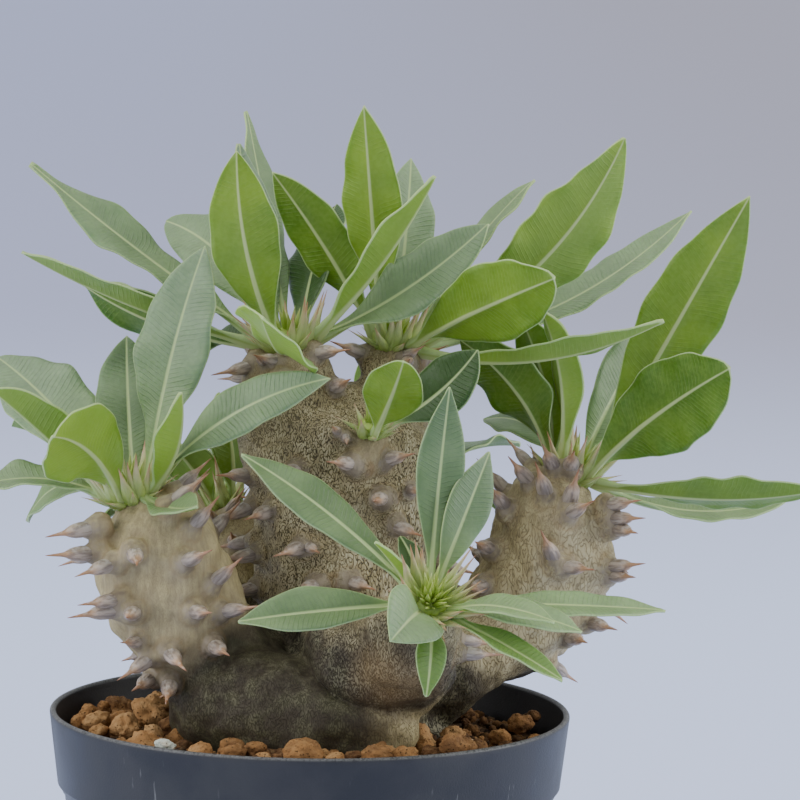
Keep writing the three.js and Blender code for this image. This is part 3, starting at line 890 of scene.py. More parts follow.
@dataclass(frozen=True)
class SpineFinish:
    """A spine's colours from its root to its tip, over a fine streak, with a painted highlight on the faces
    that look upwards.
    """

    name: str
    stops: tuple[tuple[float, Colour], ...]
    streak: Colour
    streaked: float
    # The colour of the painted highlight on the spine's top.
    pale: Colour
    sheen: float
    glow: float
    roughness: float = 0.42

    def material(self, effects: Effects) -> Material:
        """Makes the material.

        Args:
            effects: The shared shader groups.

        Returns:
            The material.
        """
        coat = Coat(
            self.name,
            Subsurface_Weight=self.glow,
            Subsurface_Radius=(1.0, 0.8, 0.4),
            Subsurface_Scale=0.0006,
        )
        w = coat.wiring
        along = w.marked_number("along")
        streaks = w.step(w.noise(w.marked("horn"), 1.5, 3.0), 0.38, 0.62)
        body = w.rest(w.step(along, 0.45, 0.8))
        colour = w.ramp(along, list(self.stops))
        streaked = w.times(w.times(streaks, body), self.streaked)
        colour = w.mix(streaked, colour, self.streak)
        # Painted highlight: the faces that look upwards turn pale.
        dust_and_sheen = coat.use(effects.dust_and_sheen, Place=w.place(), Amount=self.sheen)["Mask"]
        colour = w.mix(dust_and_sheen, colour, self.pale)
        return coat.done(colour, self.roughness, w.bump(streaks, 0.14))


@dataclass(frozen=True)
class GrainFinish:
    """Porous clay and crumbled soil, brown, orange, tan or pale by each grain's tone."""

    name: str
    pore_size: float
    depth: float
    dark: Colour = (0.028, 0.016, 0.009)
    brown: Colour = (0.13, 0.062, 0.026)
    orange: Colour = (0.33, 0.165, 0.06)
    tan: Colour = (0.48, 0.29, 0.13)
    pebble: Colour = (0.60, 0.64, 0.55)

    def material(self, effects: Effects) -> Material:
        """Makes the material.

        Args:
            effects: The shared shader groups.

        Returns:
            The material.
        """
        coat = Coat(self.name, Specular_IOR_Level=0.2)
        w = coat.wiring
        place = w.place()
        tone = w.marked_number("grain_tone")
        blotch = coat.use(effects.mottle, Place=place, Size=2.6)["Mask"]
        pores = coat.use(effects.pores, Place=place, Size=self.pore_size)
        colours = (self.dark, self.brown, self.orange, self.tan, self.pebble)
        shade = w.plus(tone, w.times(w.minus(blotch, 0.5), 0.16))
        colour = w.ramp(shade, list(zip((0.0, 0.3, 0.55, 0.8, 1.0), colours)))
        colour = w.mix(w.times(pores["Hole"], 0.8), colour, self.dark)
        dust_and_sheen = coat.use(effects.dust_and_sheen, Place=place, Amount=0.25)["Mask"]
        colour = w.mix(dust_and_sheen, colour, self.tan)
        return coat.done(colour, 0.95, w.bump(pores["Height"], self.depth))


@dataclass(frozen=True)
class PotFinish:
    """Charcoal moulded plastic with a satin skin, thin pale upright scuffs and a worn lip."""

    body: Colour = (0.0112, 0.0117, 0.0146)
    worn: Colour = (0.20, 0.19, 0.17)
    scuff: Colour = (0.33, 0.33, 0.32)

    def material(self, effects: Effects) -> Material:
        """Makes the material.

        Args:
            effects: The shared shader groups.

        Returns:
            The material.
        """
        coat = Coat("pot", Specular_IOR_Level=0.45)
        w = coat.wiring
        place = w.place()
        x, y, z = w.apart(place)
        around = w.times(w.math("ARCTAN2", y, x), RIM_RADIUS * MM)
        wall = w.add("ShaderNodeCombineXYZ", {0: around, 1: 0.0, 2: z}).outputs[0]
        streak = w.noise(w.scaled(wall, (1.0, 1.0, 0.16)), 900.0, 3.0)
        where = w.noise(wall, 90.0, 2.0)
        scuffed = w.times(w.step(streak, 0.62, 0.74), w.step(where, 0.5, 0.66))
        cloud = coat.use(effects.mottle, Place=place, Size=14.0)["Mask"]
        fine = w.noise(place, 2600.0, 3.0)
        lip = w.step(z, (POT_HEIGHT - 0.7) * MM, (POT_HEIGHT - 0.1) * MM)
        worn = w.times(lip, w.step(fine, 0.3, 0.6))
        colour = w.mix(w.times(cloud, 0.08), self.body, self.worn)
        colour = w.mix(w.times(scuffed, 0.4), colour, self.scuff)
        colour = w.mix(w.times(worn, 0.28), colour, self.scuff)
        dust_and_sheen = coat.use(effects.dust_and_sheen, Place=place, Amount=0.2)["Mask"]
        colour = w.mix(dust_and_sheen, colour, self.scuff)
        gloss = w.plus(w.times(cloud, 0.1), 0.4)
        gloss = w.plus(gloss, w.times(scuffed, 0.2))
        return coat.done(colour, gloss, w.bump(w.plus(fine, scuffed), 0.05))


@dataclass(frozen=True)
class FloorFinish:
    """The plain pale floor with a painted pool of light: paler round the plant, a little deeper in colour far
    away.
    """

    # near is the painted pool of light round the plant; far and warm are the floor where it has faded, warmer
    # towards +x.
    near: Colour = (0.63, 0.72, 0.99)
    far: Colour = (0.44, 0.475, 0.68)
    warm: Colour = (0.42, 0.415, 0.50)

    def material(self) -> Material:
        """Makes the material.

        Returns:
            The material.
        """
        coat = Coat("floor", Specular_IOR_Level=0.1)
        w = coat.wiring
        x, y, _ = w.apart(w.place())
        away = w.math("SQRT", w.plus(w.math("POWER", x, 2.0), w.math("POWER", y, 2.0)))
        distant = w.mix(w.step(x, -0.35, 0.55), self.far, self.warm)
        return coat.done(w.mix(w.step(away, 0.5, 1.7), self.near, distant), 0.9)


LEAF_UPPER = LeafFinish(
    "leaf_upper",
    dark=(0.035, 0.085, 0.012),
    light=(0.28, 0.40, 0.16),
    cool_dark=(0.065, 0.125, 0.058),
    cool_light=(0.29, 0.385, 0.255),
    lime=(0.17, 0.32, 0.035),
    vein=(0.06, 0.115, 0.045),
    rib=(0.44, 0.55, 0.23),
    edge=(0.46, 0.58, 0.30),
    stalk=(0.32, 0.46, 0.12),
    vein_strength=0.13,
    rib_width=0.42,
    edge_strength=0.4,
    relief=0.09,
    roughness=0.42,
)
LEAF_UNDER = LeafFinish(
    "leaf_under",
    dark=(0.05, 0.13, 0.002),
    light=(0.25, 0.385, 0.022),
    cool_dark=(0.08, 0.15, 0.025),
    cool_light=(0.28, 0.39, 0.13),
    lime=(0.33, 0.48, 0.07),
    vein=(0.29, 0.42, 0.09),
    rib=(0.45, 0.53, 0.22),
    edge=(0.52, 0.64, 0.32),
    stalk=(0.34, 0.47, 0.10),
    vein_strength=0.12,
    rib_width=0.6,
    edge_strength=0.65,
    relief=0.06,
    roughness=0.46,
)
OLD_SPINE = SpineFinish(
    "spine",
    stops=(
        (0.0, (0.34, 0.28, 0.22)),
        (0.3, (0.44, 0.37, 0.30)),
        (0.48, (0.51, 0.40, 0.30)),
        (0.6, (0.52, 0.32, 0.18)),
        (0.8, (0.48, 0.25, 0.13)),
        (1.0, (0.30, 0.12, 0.06)),
    ),
    streak=(0.13, 0.10, 0.08),
    streaked=0.62,
    pale=(0.72, 0.67, 0.60),
    sheen=0.55,
    glow=0.08,
)
YOUNG_SPINE = SpineFinish(
    "young_spine",
    stops=(
        (0.0, (0.30, 0.44, 0.06)),
        (0.42, (0.47, 0.55, 0.19)),
        (0.7, (0.60, 0.50, 0.28)),
        (0.9, (0.52, 0.28, 0.16)),
        (1.0, (0.28, 0.12, 0.06)),
    ),
    streak=(0.34, 0.42, 0.14),
    streaked=0.5,
    pale=(0.70, 0.72, 0.46),
    sheen=0.3,
    glow=0.3,
)
GREEN_TIP = SpineFinish(
    "green_tip",
    stops=((0.0, (0.20, 0.33, 0.03)), (0.5, (0.38, 0.52, 0.08)), (1.0, (0.56, 0.62, 0.24))),
    streak=(0.26, 0.38, 0.05),
    streaked=0.4,
    pale=(0.62, 0.70, 0.34),
    sheen=0.3,
    glow=0.3,
)


class Stem:
    """A stem of the woody body: a swelling, slightly lobed tube along a curved line."""

    def __init__(self, name: str, spines: int, turn: float, start: float, path: list[Row]) -> None:
        """Takes the stem's row of the drawing.

        Args:
            name: The stem's name.
            spines: How many pairs of spines it bears.
            turn: Where round the stem the lowest pair stands, in degrees.
            start: The share of its length at which the spines begin.
            path: Rows of x, y, z and radius, from its foot to its tip.
        """
        rows = np.array(path, float)
        self.name = name
        self.spines = spines
        self.turn = turn
        self.start = start
        self.line = rows[:, :3]
        self.sizes = np.column_stack([np.arange(len(rows)), rows[:, 3], np.zeros(len(rows))])
        self.direction = unit(self.line[-1] - self.line[0])

    def point(self, shares: Array) -> Array:
        """Returns points on the centre line."""
        return along_spline(self.line, shares)

    def radius(self, shares: Array) -> Array:
        """Returns the usual radius at shares of the length."""
        return along_spline(self.sizes, shares)[:, 1]

    def lumpy(self, shares: Array, angles: Array) -> Array:
        """Returns the radius at shares of the length and angles round the stem, lobes and all."""
        lobes = sum(height * np.sin(count * angles + turns * shares) for height, count, turns in STEM_LOBES)
        return self.radius(shares) * (1 + lobes)

    def holds(self, point: Array) -> bool:
        """Returns whether a point lies well inside the stem."""
        samples = np.linspace(0, 1, 13)
        away = np.linalg.norm(self.point(samples) - point, axis=1)
        return bool((away < 0.98 * self.radius(samples)).any())

    def tube(self, columns: int = 40, rings: int = 36) -> Object:
        """Models the stem as a closed tube with rounded ends.

        Args:
            columns: The points in a ring.
            rings: The rings between the two ends.

        Returns:
            The tube.
        """
        angles = np.arange(columns) * TAU / columns
        caps = np.radians([84, 66, 44, 22])
        shares = np.concatenate([np.zeros(4), np.linspace(0, 1, rings), np.ones(4)])
        shrink = np.concatenate([np.cos(caps), np.ones(rings), np.cos(caps[::-1])])
        shift = np.concatenate([-np.sin(caps), np.zeros(rings), np.sin(caps[::-1])]) * STEM_END
        centers = self.point(shares) + self.direction * (shift * self.radius(shares))[:, None]
        grid = [
            on_circle(center, self.direction, small * self.lumpy(np.full(columns, share), angles), angles)
            for center, share, small in zip(centers, shares, shrink)
        ]
        tube = extruded_tube(f"stem_{self.name}", columns, len(shares))
        shape_rings(tube, np.array(grid))
        return tube

    def pair(self, share: float, angle: float, number: int) -> list["SpinePlace"]:
        """Returns the two spines of a pair.

        Args:
            share: Where the pair stands along the stem.
            angle: Where it stands round the stem.
            number: The pair's number, which sets the sizes.

        Returns:
            The two spines, left and right of the leaf scar.
        """
        center, radius = self.point([share])[0], self.radius([share])[0]
        spread = min(PAIR_SPREAD * PAIR_ON_RADIUS / radius, PAIR_WIDEST)
        places = []
        for side in (-1, 1):
            here = angle + side * spread
            reach = self.lumpy(np.array([share]), np.array([here]))[0] - PAIR_SUNK
            root = on_circle(center, self.direction, reach, here)
            out = on_circle(np.zeros(3), self.direction, 1.0, angle + side * spread * PAIR_FAN)
            out = unit(out + UP * (SPINE_LIFT * share - SPINE_DROOP))
            size = SPINE_SMALL + SPINE_GROWTH * math.sin(GOLDEN_ANGLE * number + side) ** 2
            places.append(SpinePlace(root, out, SPINE_FULL * size))
        return places

    def scar(self, share: float, angle: float) -> Array:
        """Returns the place of the leaf scar between the two spines of a pair."""
        reach = self.lumpy(np.array([share]), np.array([angle]))[0]
        return on_circle(self.point([share])[0], self.direction, reach, angle) + 0.8 * self.direction

    def pair_spots(self) -> list[tuple[float, float]]:
        """Returns the share and the angle of each pair, on a golden-angle spiral."""
        step = (PAIR_TOP - self.start) / max(self.spines, 1)
        return [
            (self.start + step * (i + 0.5), math.radians(self.turn) + i * GOLDEN_ANGLE)
            for i in range(self.spines)
        ]


@dataclass(frozen=True)
class SpinePlace:
    """Where a spine stands, which way it points and how big it is."""

    root: Array
    out: Array
    size: float

    def tip(self) -> Array:
        """Returns the spine's tip."""
        return self.root + self.out * SPINE_LENGTH * self.size


class Spike:
    """A round tapering form modelled once, then copied, bent and set on its place."""

    def __init__(
        self, name: str, profile: list[tuple[float, float]], columns: int, flat: float = 1.0
    ) -> None:
        """Models the blank.

        Args:
            name: The blank's name.
            profile: Rows of height and radius, from heel to tip.
            columns: The points in a ring.
            flat: How thick the form is across its width.
        """
        self.blank = extruded_tube(name, columns, len(profile))
        rings = turned([(radius, height) for height, radius in profile], columns)
        rings[..., 1] *= flat
        shape_rings(self.blank, rings)
        smooth_shade(self.blank)
        self.shape = points_of(self.blank) / MM
        self.top = profile[-1][0]

    def placed(self, place: SpinePlace, bend: float, name: str) -> Object:
        """Copies the blank to a place.

        Args:
            place: Where the copy stands.
            bend: How far its tip swings aside, in millimetres.
            name: The copy's name.

        Returns:
            The copy, marked with how far along it each vertex lies.
        """
        piece = copy_of(self.blank, name)
        side, rise = square_to(place.out)
        share = np.clip(self.shape[:, 2] / self.top, 0, 1)
        across = self.shape[:, 0] + bend * share**2
        local = np.column_stack([across, self.shape[:, 1:]]) @ np.array([side, rise, place.out])
        set_points(piece, place.root + local * place.size)
        mark(piece, "along", share)
        mark(piece, "horn", self.shape * np.array([1, 1, 0.16]) + place.root)
        return piece


@dataclass
class Caudex:
    """The woody body: its stems grown together, their spine cushions and leaf scars."""

    stems: list[Stem]
    looks: dict[str, tuple[float, float, float]]
    crown_pairs: dict[str, tuple[int, float]]
    folds: list[Stem]
    near: list[Row]
    near_scars: list[Row]
    voxel: float = 0.7
    furrow: float = 0.16
    knob_radius: float = 4.6
    swells: tuple[tuple[float, float, int], ...] = ((17.0, 0.42, 3), (7.0, 0.2, 4), (3.2, 0.09, 5))

    def __post_init__(self) -> None:
        """Finds where the spines and the leaf scars are."""
        self.places = [self.between(np.array(row[:3]), np.array(row[3:])) for row in self.near]
        self.scars = [np.array(row) for row in self.near_scars]
        for stem in self.stems:
            for number, (share, angle) in enumerate(stem.pair_spots()):
                kept = [place for place in stem.pair(share, angle, number) if self.wanted(place, stem)]
                self.places += kept
                if len(kept) == 2:
                    self.scars.append(stem.scar(share, angle))
            count, turn = self.crown_pairs.get(stem.name, (0, 0.0))
            for number in range(count):
                angle = math.radians(turn) + number * TAU / count
                for place in stem.pair(CROWN_SHARE, angle, number):
                    out = unit(place.out + CROWN_LIFT * UP)
                    raised = SpinePlace(place.root, out, CROWN_SPINE * place.size)
                    if self.wanted(raised, stem):
                        self.places.append(raised)

    @staticmethod
    def between(root: Array, tip: Array) -> SpinePlace:
        """Returns the spine that reaches from a root to a tip."""
        return SpinePlace(root, unit(tip - root), float(np.linalg.norm(tip - root)) / SPINE_LENGTH)

    def wanted(self, place: SpinePlace, stem: Stem) -> bool:
        """Returns whether a spine of the spiral stands free and isn't taken by a measured one."""
        if stem.name in MEASURED_STEMS and place.out[1] < FACING_AWAY:
            return False
        measured = self.places[: len(self.near)]
        taken = any(np.linalg.norm(other.root - place.root) < SPINE_CLEARANCE for other in measured)
        return not taken and self.stands_free(place, stem)

    def stands_free(self, place: SpinePlace, own: Stem) -> bool:
        """Returns whether a spine stands clear of the soil and of the other stems."""
        if min(place.root[2], place.tip()[2]) <= SPINE_LOW:
            return False
        others = [stem for stem in self.stems if stem is not own]
        return not any(stem.holds(place.root) or stem.holds(place.tip()) for stem in others)

    def build(self, effects: Effects) -> list[Object]:
        """Models the body and its spines.

        Args:
            effects: The shared shader groups.

        Returns:
            The bark piece and the spine piece.
        """
        cushion = Spike("spine_cushion", CUSHION_PROFILE, 16)
        horn = Spike("spine_horn", HORN_PROFILE, 12, 0.86)
        parts = [stem.tube() for stem in self.stems]
        parts += [cushion.placed(place, 0, "cushion") for place in self.places]
        parts += [stem.tube() for stem in self.folds]
        body = join(parts, "bark")
        finish_with(body, "REMESH", mode="VOXEL", voxel_size=self.voxel * MM)
        finish_with(body, "SMOOTH", factor=0.5, iterations=2)
        self.weather(body)
        wear(body, BarkFinish().material(effects))
        smooth_shade(body)
        draw = default_rng(21)
        shafts = [horn.placed(place, draw.uniform(-0.9, 0.9), "horn") for place in self.places]
        spines = join(shafts, "spines")
        wear(spines, OLD_SPINE.material(effects))
        for blank in (cushion.blank, horn.blank):
            scrap(blank)
        return [body, spines]

    def near_spines(self, points: Array) -> tuple[Array, Array]:
        """Finds the nearest spine of each point.

        Args:
            points: The points to look from.

        Returns:
            How far each point is from that spine's axis, and the share of its length it lies at.
        """
        closest, along = np.full(len(points), 9.0), np.zeros(len(points))
        for place in self.places:
            away = points - place.root
            height = away @ place.out
            foot = np.clip(height, -HEEL, SHAFT * place.size)
            gap = np.linalg.norm(away - foot[:, None] * place.out, axis=1) / place.size
            closer = gap < closest
            along = np.where(closer, height / (SPINE_LENGTH * place.size), along)
            closest = np.minimum(closest, gap)
        return closest, np.clip(along, 0, 1)

    def looks_of(self, points: Array) -> Array:
        """Blends the bark's look from the looks of the stems nearby.

        Args:
            points: The points of the bark.

        Returns:
            One row per point: how netted, how pale and how olive the bark is.
        """
        samples = np.linspace(0, 1, 14)
        total = np.zeros(len(points))
        look = np.zeros((len(points), 3))
        for stem in self.stems:
            centers, radii = stem.point(samples), stem.radius(samples)
            depth = np.full(len(points), 9.0)
            for center, radius in zip(centers, radii):
                depth = np.minimum(depth, np.linalg.norm(points - center, axis=1) / radius)
            weight = np.exp(-14 * depth)
            total += weight
            look += weight[:, None] * np.array(self.looks[stem.name])
        return look / total[:, None]

    def relief(self, points: Array, spine: Array, scar: Array) -> Array:
        """Returns how far the bark stands out: its swells, furrows, knobs and leaf scars.

        Args:
            points: The points of the bark.
            spine: How far each point is from the nearest spine.
            scar: How far each point is from the nearest leaf scar.

        Returns:
            One height per point, in millimetres.
        """
        bare = smooth_step(spine, 2.0, 3.4)
        swell = sum(height * Lumps(length, seed).at(points) for length, height, seed in self.swells)
        stretched = points * np.array([1.0, 1.0, 0.3])
        furrow = -self.furrow * smooth_step(Lumps(5.5, 8).at(stretched), 0.4, 1.6)
        knob = np.exp(-((scar / self.knob_radius) ** 2)) * smooth_step(points[:, 2], 92, 100)
        pit = np.exp(-((scar / 0.8) ** 2))
        return bare * (swell + furrow) + knob + 0.16 * self.scar_ring(scar) - 0.14 * pit

    @staticmethod
    def scar_ring(scar: Array) -> Array:
        """Returns the raised ring of a leaf scar by the distance from its middle, from 0 to 1."""
        return np.exp(-(((scar - 1.15) / 0.38) ** 2))

    @staticmethod
    def damp_and_shade(points: Array, golden: Array) -> Array:
        """Returns how dark the bark is: wet stain and painted shade at the foot, painted shadow in the
        crease, least on the lobe.

        Args:
            points: The points of the bark.
            golden: How far each point lies in the golden patch, which takes half the stain and painted shade
                away.

        Returns:
            One number from 0 to 1 per point.
        """
        level = points[:, 2] + 1.1 * Lumps(9.0, 9).at(points)
        level += sum(zone.at(points) for zone in DRY_AND_UNSHADED)
        # The foot darkens below a height: a wet stain, with painted shade from the leaves and the fold above
        # it.
        damp_and_shade = (1 - smooth_step(level, *DAMP_AND_SHADE_RANGE)) * (1 - 0.5 * golden)
        damp_and_shade *= 1 - LOBE_SKIN.at(points)
        # Painted shadow in the crease under the overhanging fold.
        crease = nearest(points, along_spline(np.array(CREASE_SHADE), np.linspace(0, 1, 40)))
        return np.maximum(damp_and_shade, 0.97 * (1 - smooth_step(crease, 1.8, 5.5)))

    def weather(self, body: Object) -> None:
        """Swells and dents the remeshed bark a little and marks where each look belongs.

        Args:
            body: The remeshed bark.
        """
        points, normals = points_of(body) / MM, normals_of(body)
        spine, along = self.near_spines(points)
        scar = nearest(points, self.scars)
        set_points(body, points + normals * self.relief(points, spine, scar)[:, None])
        looks = self.looks_of(points)
        # The pale look also carries painted light on the trunk's shaded left flank and a painted highlight on
        # its front.
        looks[:, 1] = np.clip(looks[:, 1] + sum(zone.at(points) for zone in PALE_AND_LIT), 0, 1)
        looks[:, 2] = np.clip(looks[:, 2] + OLIVE.at(points), 0, 1)
        golden = GOLDEN.at(points)
        damp_and_shade = self.damp_and_shade(points, golden)
        cushion = 0.85 * (1 - smooth_step(spine + 0.25 * Lumps(1.3, 12).at(points), 1.5, 2.4))
        halo = 0.4 * (1 - smooth_step(spine, 1.8, 6.0)) * (1 - damp_and_shade) * (1 - looks[:, 0])
        rim = np.exp(-(((spine - 2.45) / 0.22) ** 2)) * smooth_step(points[:, 2], 90, 96)
        brown = np.clip(self.scar_ring(scar) + 0.5 * rim + golden, 0, 1)
        mark(body, "bark_look", looks)
        mark(body, "along", along)
        mark(body, "bark_spots", np.column_stack([np.maximum(cushion, halo), brown, damp_and_shade]))


SPINE_FULL = 1.14
SPINE_CLEARANCE = 3.6
CROWN_SHARE = 0.9
CROWN_LIFT = 0.35
CROWN_SPINE = 0.8
# The stretch of a spine, below and above its root, that the bark's cushion looks are measured from.
HEEL = 0.3
SHAFT = 5.4
FACING_AWAY = 0.2
CUSHION_PROFILE = [
    (-2.0, 1.9), (-1.0, 2.4), (-0.4, 2.35), (0.3, 2.0), (1.0, 1.7), (1.7, 1.4), (2.4, 1.1), (2.8, 0.7),
    (3.0, 0.3),
]
HORN_PROFILE = [
    (0.0, 1.1), (0.8, 1.36), (1.8, 1.44), (2.8, 1.43), (3.7, 1.32), (4.4, 1.12), (4.95, 0.86),
    (5.4, 0.62), (5.9, 0.45), (6.5, 0.35), (7.2, 0.27), (8.0, 0.19), (8.7, 0.11), (9.2, 0.03),
]
MEASURED_STEMS = ("left", "right", "trunk", "front", "front_lobe")
# The leaf scars on the near side of the trunk.
SCARS = [(10, -13.9, 141.6), (4.5, -13.6, 118.6), (15.9, -9.6, 134.5), (-8.3, -9.8, 158)]
# The spines on the near side of the body: x, y, z of the root, then of the tip.
SPINES = [
    (-42.4, -20.5, 129.5, -52.5, -26.7, 128.3), (-42.3, -21.2, 124.4, -52.2, -27.8, 124.8),
    (-38.7, -24.8, 123, -46.4, -32.2, 121.4), (-34.9, -26.5, 125.6, -33, -37.1, 124.5),
    (-37.6, -24.4, 115.7, -45.7, -31.5, 115.7), (-37.1, -24.2, 113.8, -48, -29.1, 112.9),
    (-34.7, -25.4, 113.5, -35.7, -36.2, 114.1), (-31.4, -22.3, 104, -37.1, -30.8, 100.7),
    (-27.8, -24.6, 105.7, -25, -34.8, 103.5), (-31.1, -18, 99.2, -35.3, -27.9, 98.2),
    (-27.7, -20.8, 99, -27.6, -31.3, 96.3), (-19.2, -23.6, 106.9, -16.1, -33.9, 106.5),
    (-27.9, -22.6, 134.3, -20.7, -26.7, 141.3), (-23.9, -23.1, 129.7, -17.8, -27.9, 137.2),
    (-25, -25.9, 123.5, -19.9, -34.6, 127.4), (-23.1, -25.4, 113.7, -19.6, -35.6, 115.2),
    (-33.8, -23.1, 107.2, -36.7, -31.5, 108.4), (-19.8, -23, 118.6, -13, -27.9, 125.3),
    (-21.1, -0.1, 93.1, -18.1, -10.1, 90.3), (-17.9, -22, 113.1, -9.7, -28.5, 115.6),
    (-11.8, -7.8, 155.1, -17.6, -16.9, 154.6), (-12.4, -2, 137.6, -19.7, -9.9, 138.6),
    (8.2, -13.9, 141.8, 2.6, -23.1, 143.4), (13.7, -11.6, 142.3, 20.8, -19.3, 144.9),
    (-3.1, -12.5, 140.2, -7.5, -22.3, 140.7), (-11.8, 0.5, 131.4, -19.9, -5.7, 127.8),
    (-8.1, -6.9, 131.4, -14, -15.9, 130.6), (-11.5, 3.3, 123.5, -20.3, 9, 121),
    (-10.7, -0.6, 121.5, -19.4, -7, 120.8), (-1.6, -11.2, 124.9, -7.2, -20.4, 124),
    (-1, -11.7, 125, 1.1, -19.3, 124.7), (4, -13.2, 133.5, 3.4, -24, 134),
    (1.6, -12.3, 117.5, -4.2, -21.4, 117.1), (7.1, -12.7, 118.3, 12.8, -21.9, 117.9),
    (16.3, -8.8, 128.9, 21.7, -18.1, 128.1), (18.7, -6.8, 135.9, 21.9, -15.1, 136.7),
    (13.5, -11.3, 134.7, 12.5, -22, 135.6), (-11, 1.6, 114.2, -17.1, -7.4, 113.9),
    (-9.6, -5.5, 104.1, -12.9, -12.1, 104.9), (4.8, -13.6, 148, 3.7, -19.1, 149.9),
    (6.1, -13.6, 147.4, 7, -19.3, 146.3), (10.1, 6.6, 161.2, 3.3, -1.1, 164.7),
    (0.1, -3.9, 162.6, 6.3, -12.6, 164.3), (3.7, -3.2, 155.5, 6.8, -13.1, 158.6),
    (43.8, 2.9, 136.1, 38.6, -4.1, 142.5), (48.4, 2.7, 139.1, 45.7, -5.7, 145.2),
    (51.7, 2, 139.3, 51.2, -7.5, 144.3), (46.9, -1, 133.8, 44.5, -7.8, 141.9),
    (51.1, -2.2, 132.3, 52.5, -8.9, 140.7), (39, 4.1, 130.6, 35.3, -3.7, 137.1),
    (51, -2.9, 130.6, 55.7, -11.6, 134.9), (59.3, 0.9, 132.1, 64.7, -8.1, 134.5),
    (59.8, 0.6, 129.5, 66, -8.1, 130.9), (60.6, 1.4, 127.4, 65.6, -8.2, 127.9),
    (48.7, -3.8, 121.2, 45.1, -10.6, 128.7), (50.3, -3.5, 120.2, 56.7, -12.1, 121),
    (59.8, 2, 119.4, 65.9, -6.7, 121.5), (59.9, 3.1, 117.6, 65.6, -6, 118.7),
    (56, 6.6, 107.2, 62.4, -2, 107.3), (51.7, 2.3, 105, 56.1, -7.5, 105.5),
    (48, 6.1, 98.9, 54.4, 13.1, 93.7), (36, 4.5, 122.3, 31.7, -4.9, 125.3),
    (34.9, 3, 115.2, 30.8, -7, 115.8),
]
# Each stem's bark: how strong its net of grooves is, how pale it is and how green.
BARK_LOOKS = {
    "foot": (1.0, 0.1, 0.5),
    "front_lobe": (0.35, 0.75, 0.3),
    "trunk": (0.95, 0.12, 0.3),
    "top_left": (0.5, 0.3, 0.4),
    "top_right": (0.5, 0.3, 0.4),
    "side_bud": (0.2, 0.3, 0.9),
    "left": (0.12, 0.8, 0.5),
    "right": (0.45, 1.0, 0.15),
    "front": (0.75, 0.05, 0.0),
    "back_left": (0.5, 0.4, 0.4),
    "back": (0.5, 0.4, 0.4),
}
# The fold of bark that hangs over the front lobe.
FOLDS = [
    Stem("fold", 0, 0, 0, [
        (3, -14, 106, 8), (8, -20, 105, 10.6), (14, -25, 104.5, 11.6), (19, -28.5, 105.5, 10),
        (22, -31, 109, 7),
    ]),
]
# The crease under the fold, darkened with painted shadow over its own dark brown.
CREASE_SHADE = [
    (-4, -30, 107.5), (1.5, -32, 104), (5.8, -33.5, 100.6), (13.2, -34.5, 98), (18, -33.5, 97),
    (23, -31, 97),
]
# Where the bark is paler: a pale middle of the trunk, painted light on its shaded left flank and a painted
# highlight on its front. Where it turns olive, where it keeps clear of the foot's stain and painted shade,
# and where it is golden.
PALE_AND_LIT = (
    Zone(0.35, ((Axis.Z, 110, 118), (Axis.Z, 142, 132), (Axis.X, -19, -12), (Axis.X, 29, 22))),
    Zone(0.95, ((Axis.X, -2, -12), (Axis.Z, 108, 116), (Axis.Z, 146, 136))),
    Patch(0.45, (13, -22, 140), 9),
)
OLIVE = Zone(0.3, ((Axis.Z, 118, 132),))
DRY_AND_UNSHADED = (Zone(11, ((Axis.X, -17, -27),)), Zone(14, ((Axis.X, 24, 35),)))
LOBE_SKIN = Zone(0.85, ((Axis.X, 9, 20), (Axis.Y, -14, -26), (Axis.Z, 99.5, 96)))
GOLDEN = Patch(0.9, (17, -34, 104), 8)
# The heights between which the foot's stain and painted shade fade out.
DAMP_AND_SHADE_RANGE = (106.5, 117)
# The ring of young spines under each crown: how many pairs, and where the first one stands.
CROWN_PAIRS = {
    "left": (4, 20.0),
    "right": (5, 60.0),
    "top_left": (4, 10.0),
    "top_right": (3, 80.0),
    "front": (3, 130.0),
    "back_left": (3, 40.0),
    "back": (3, 100.0),
}


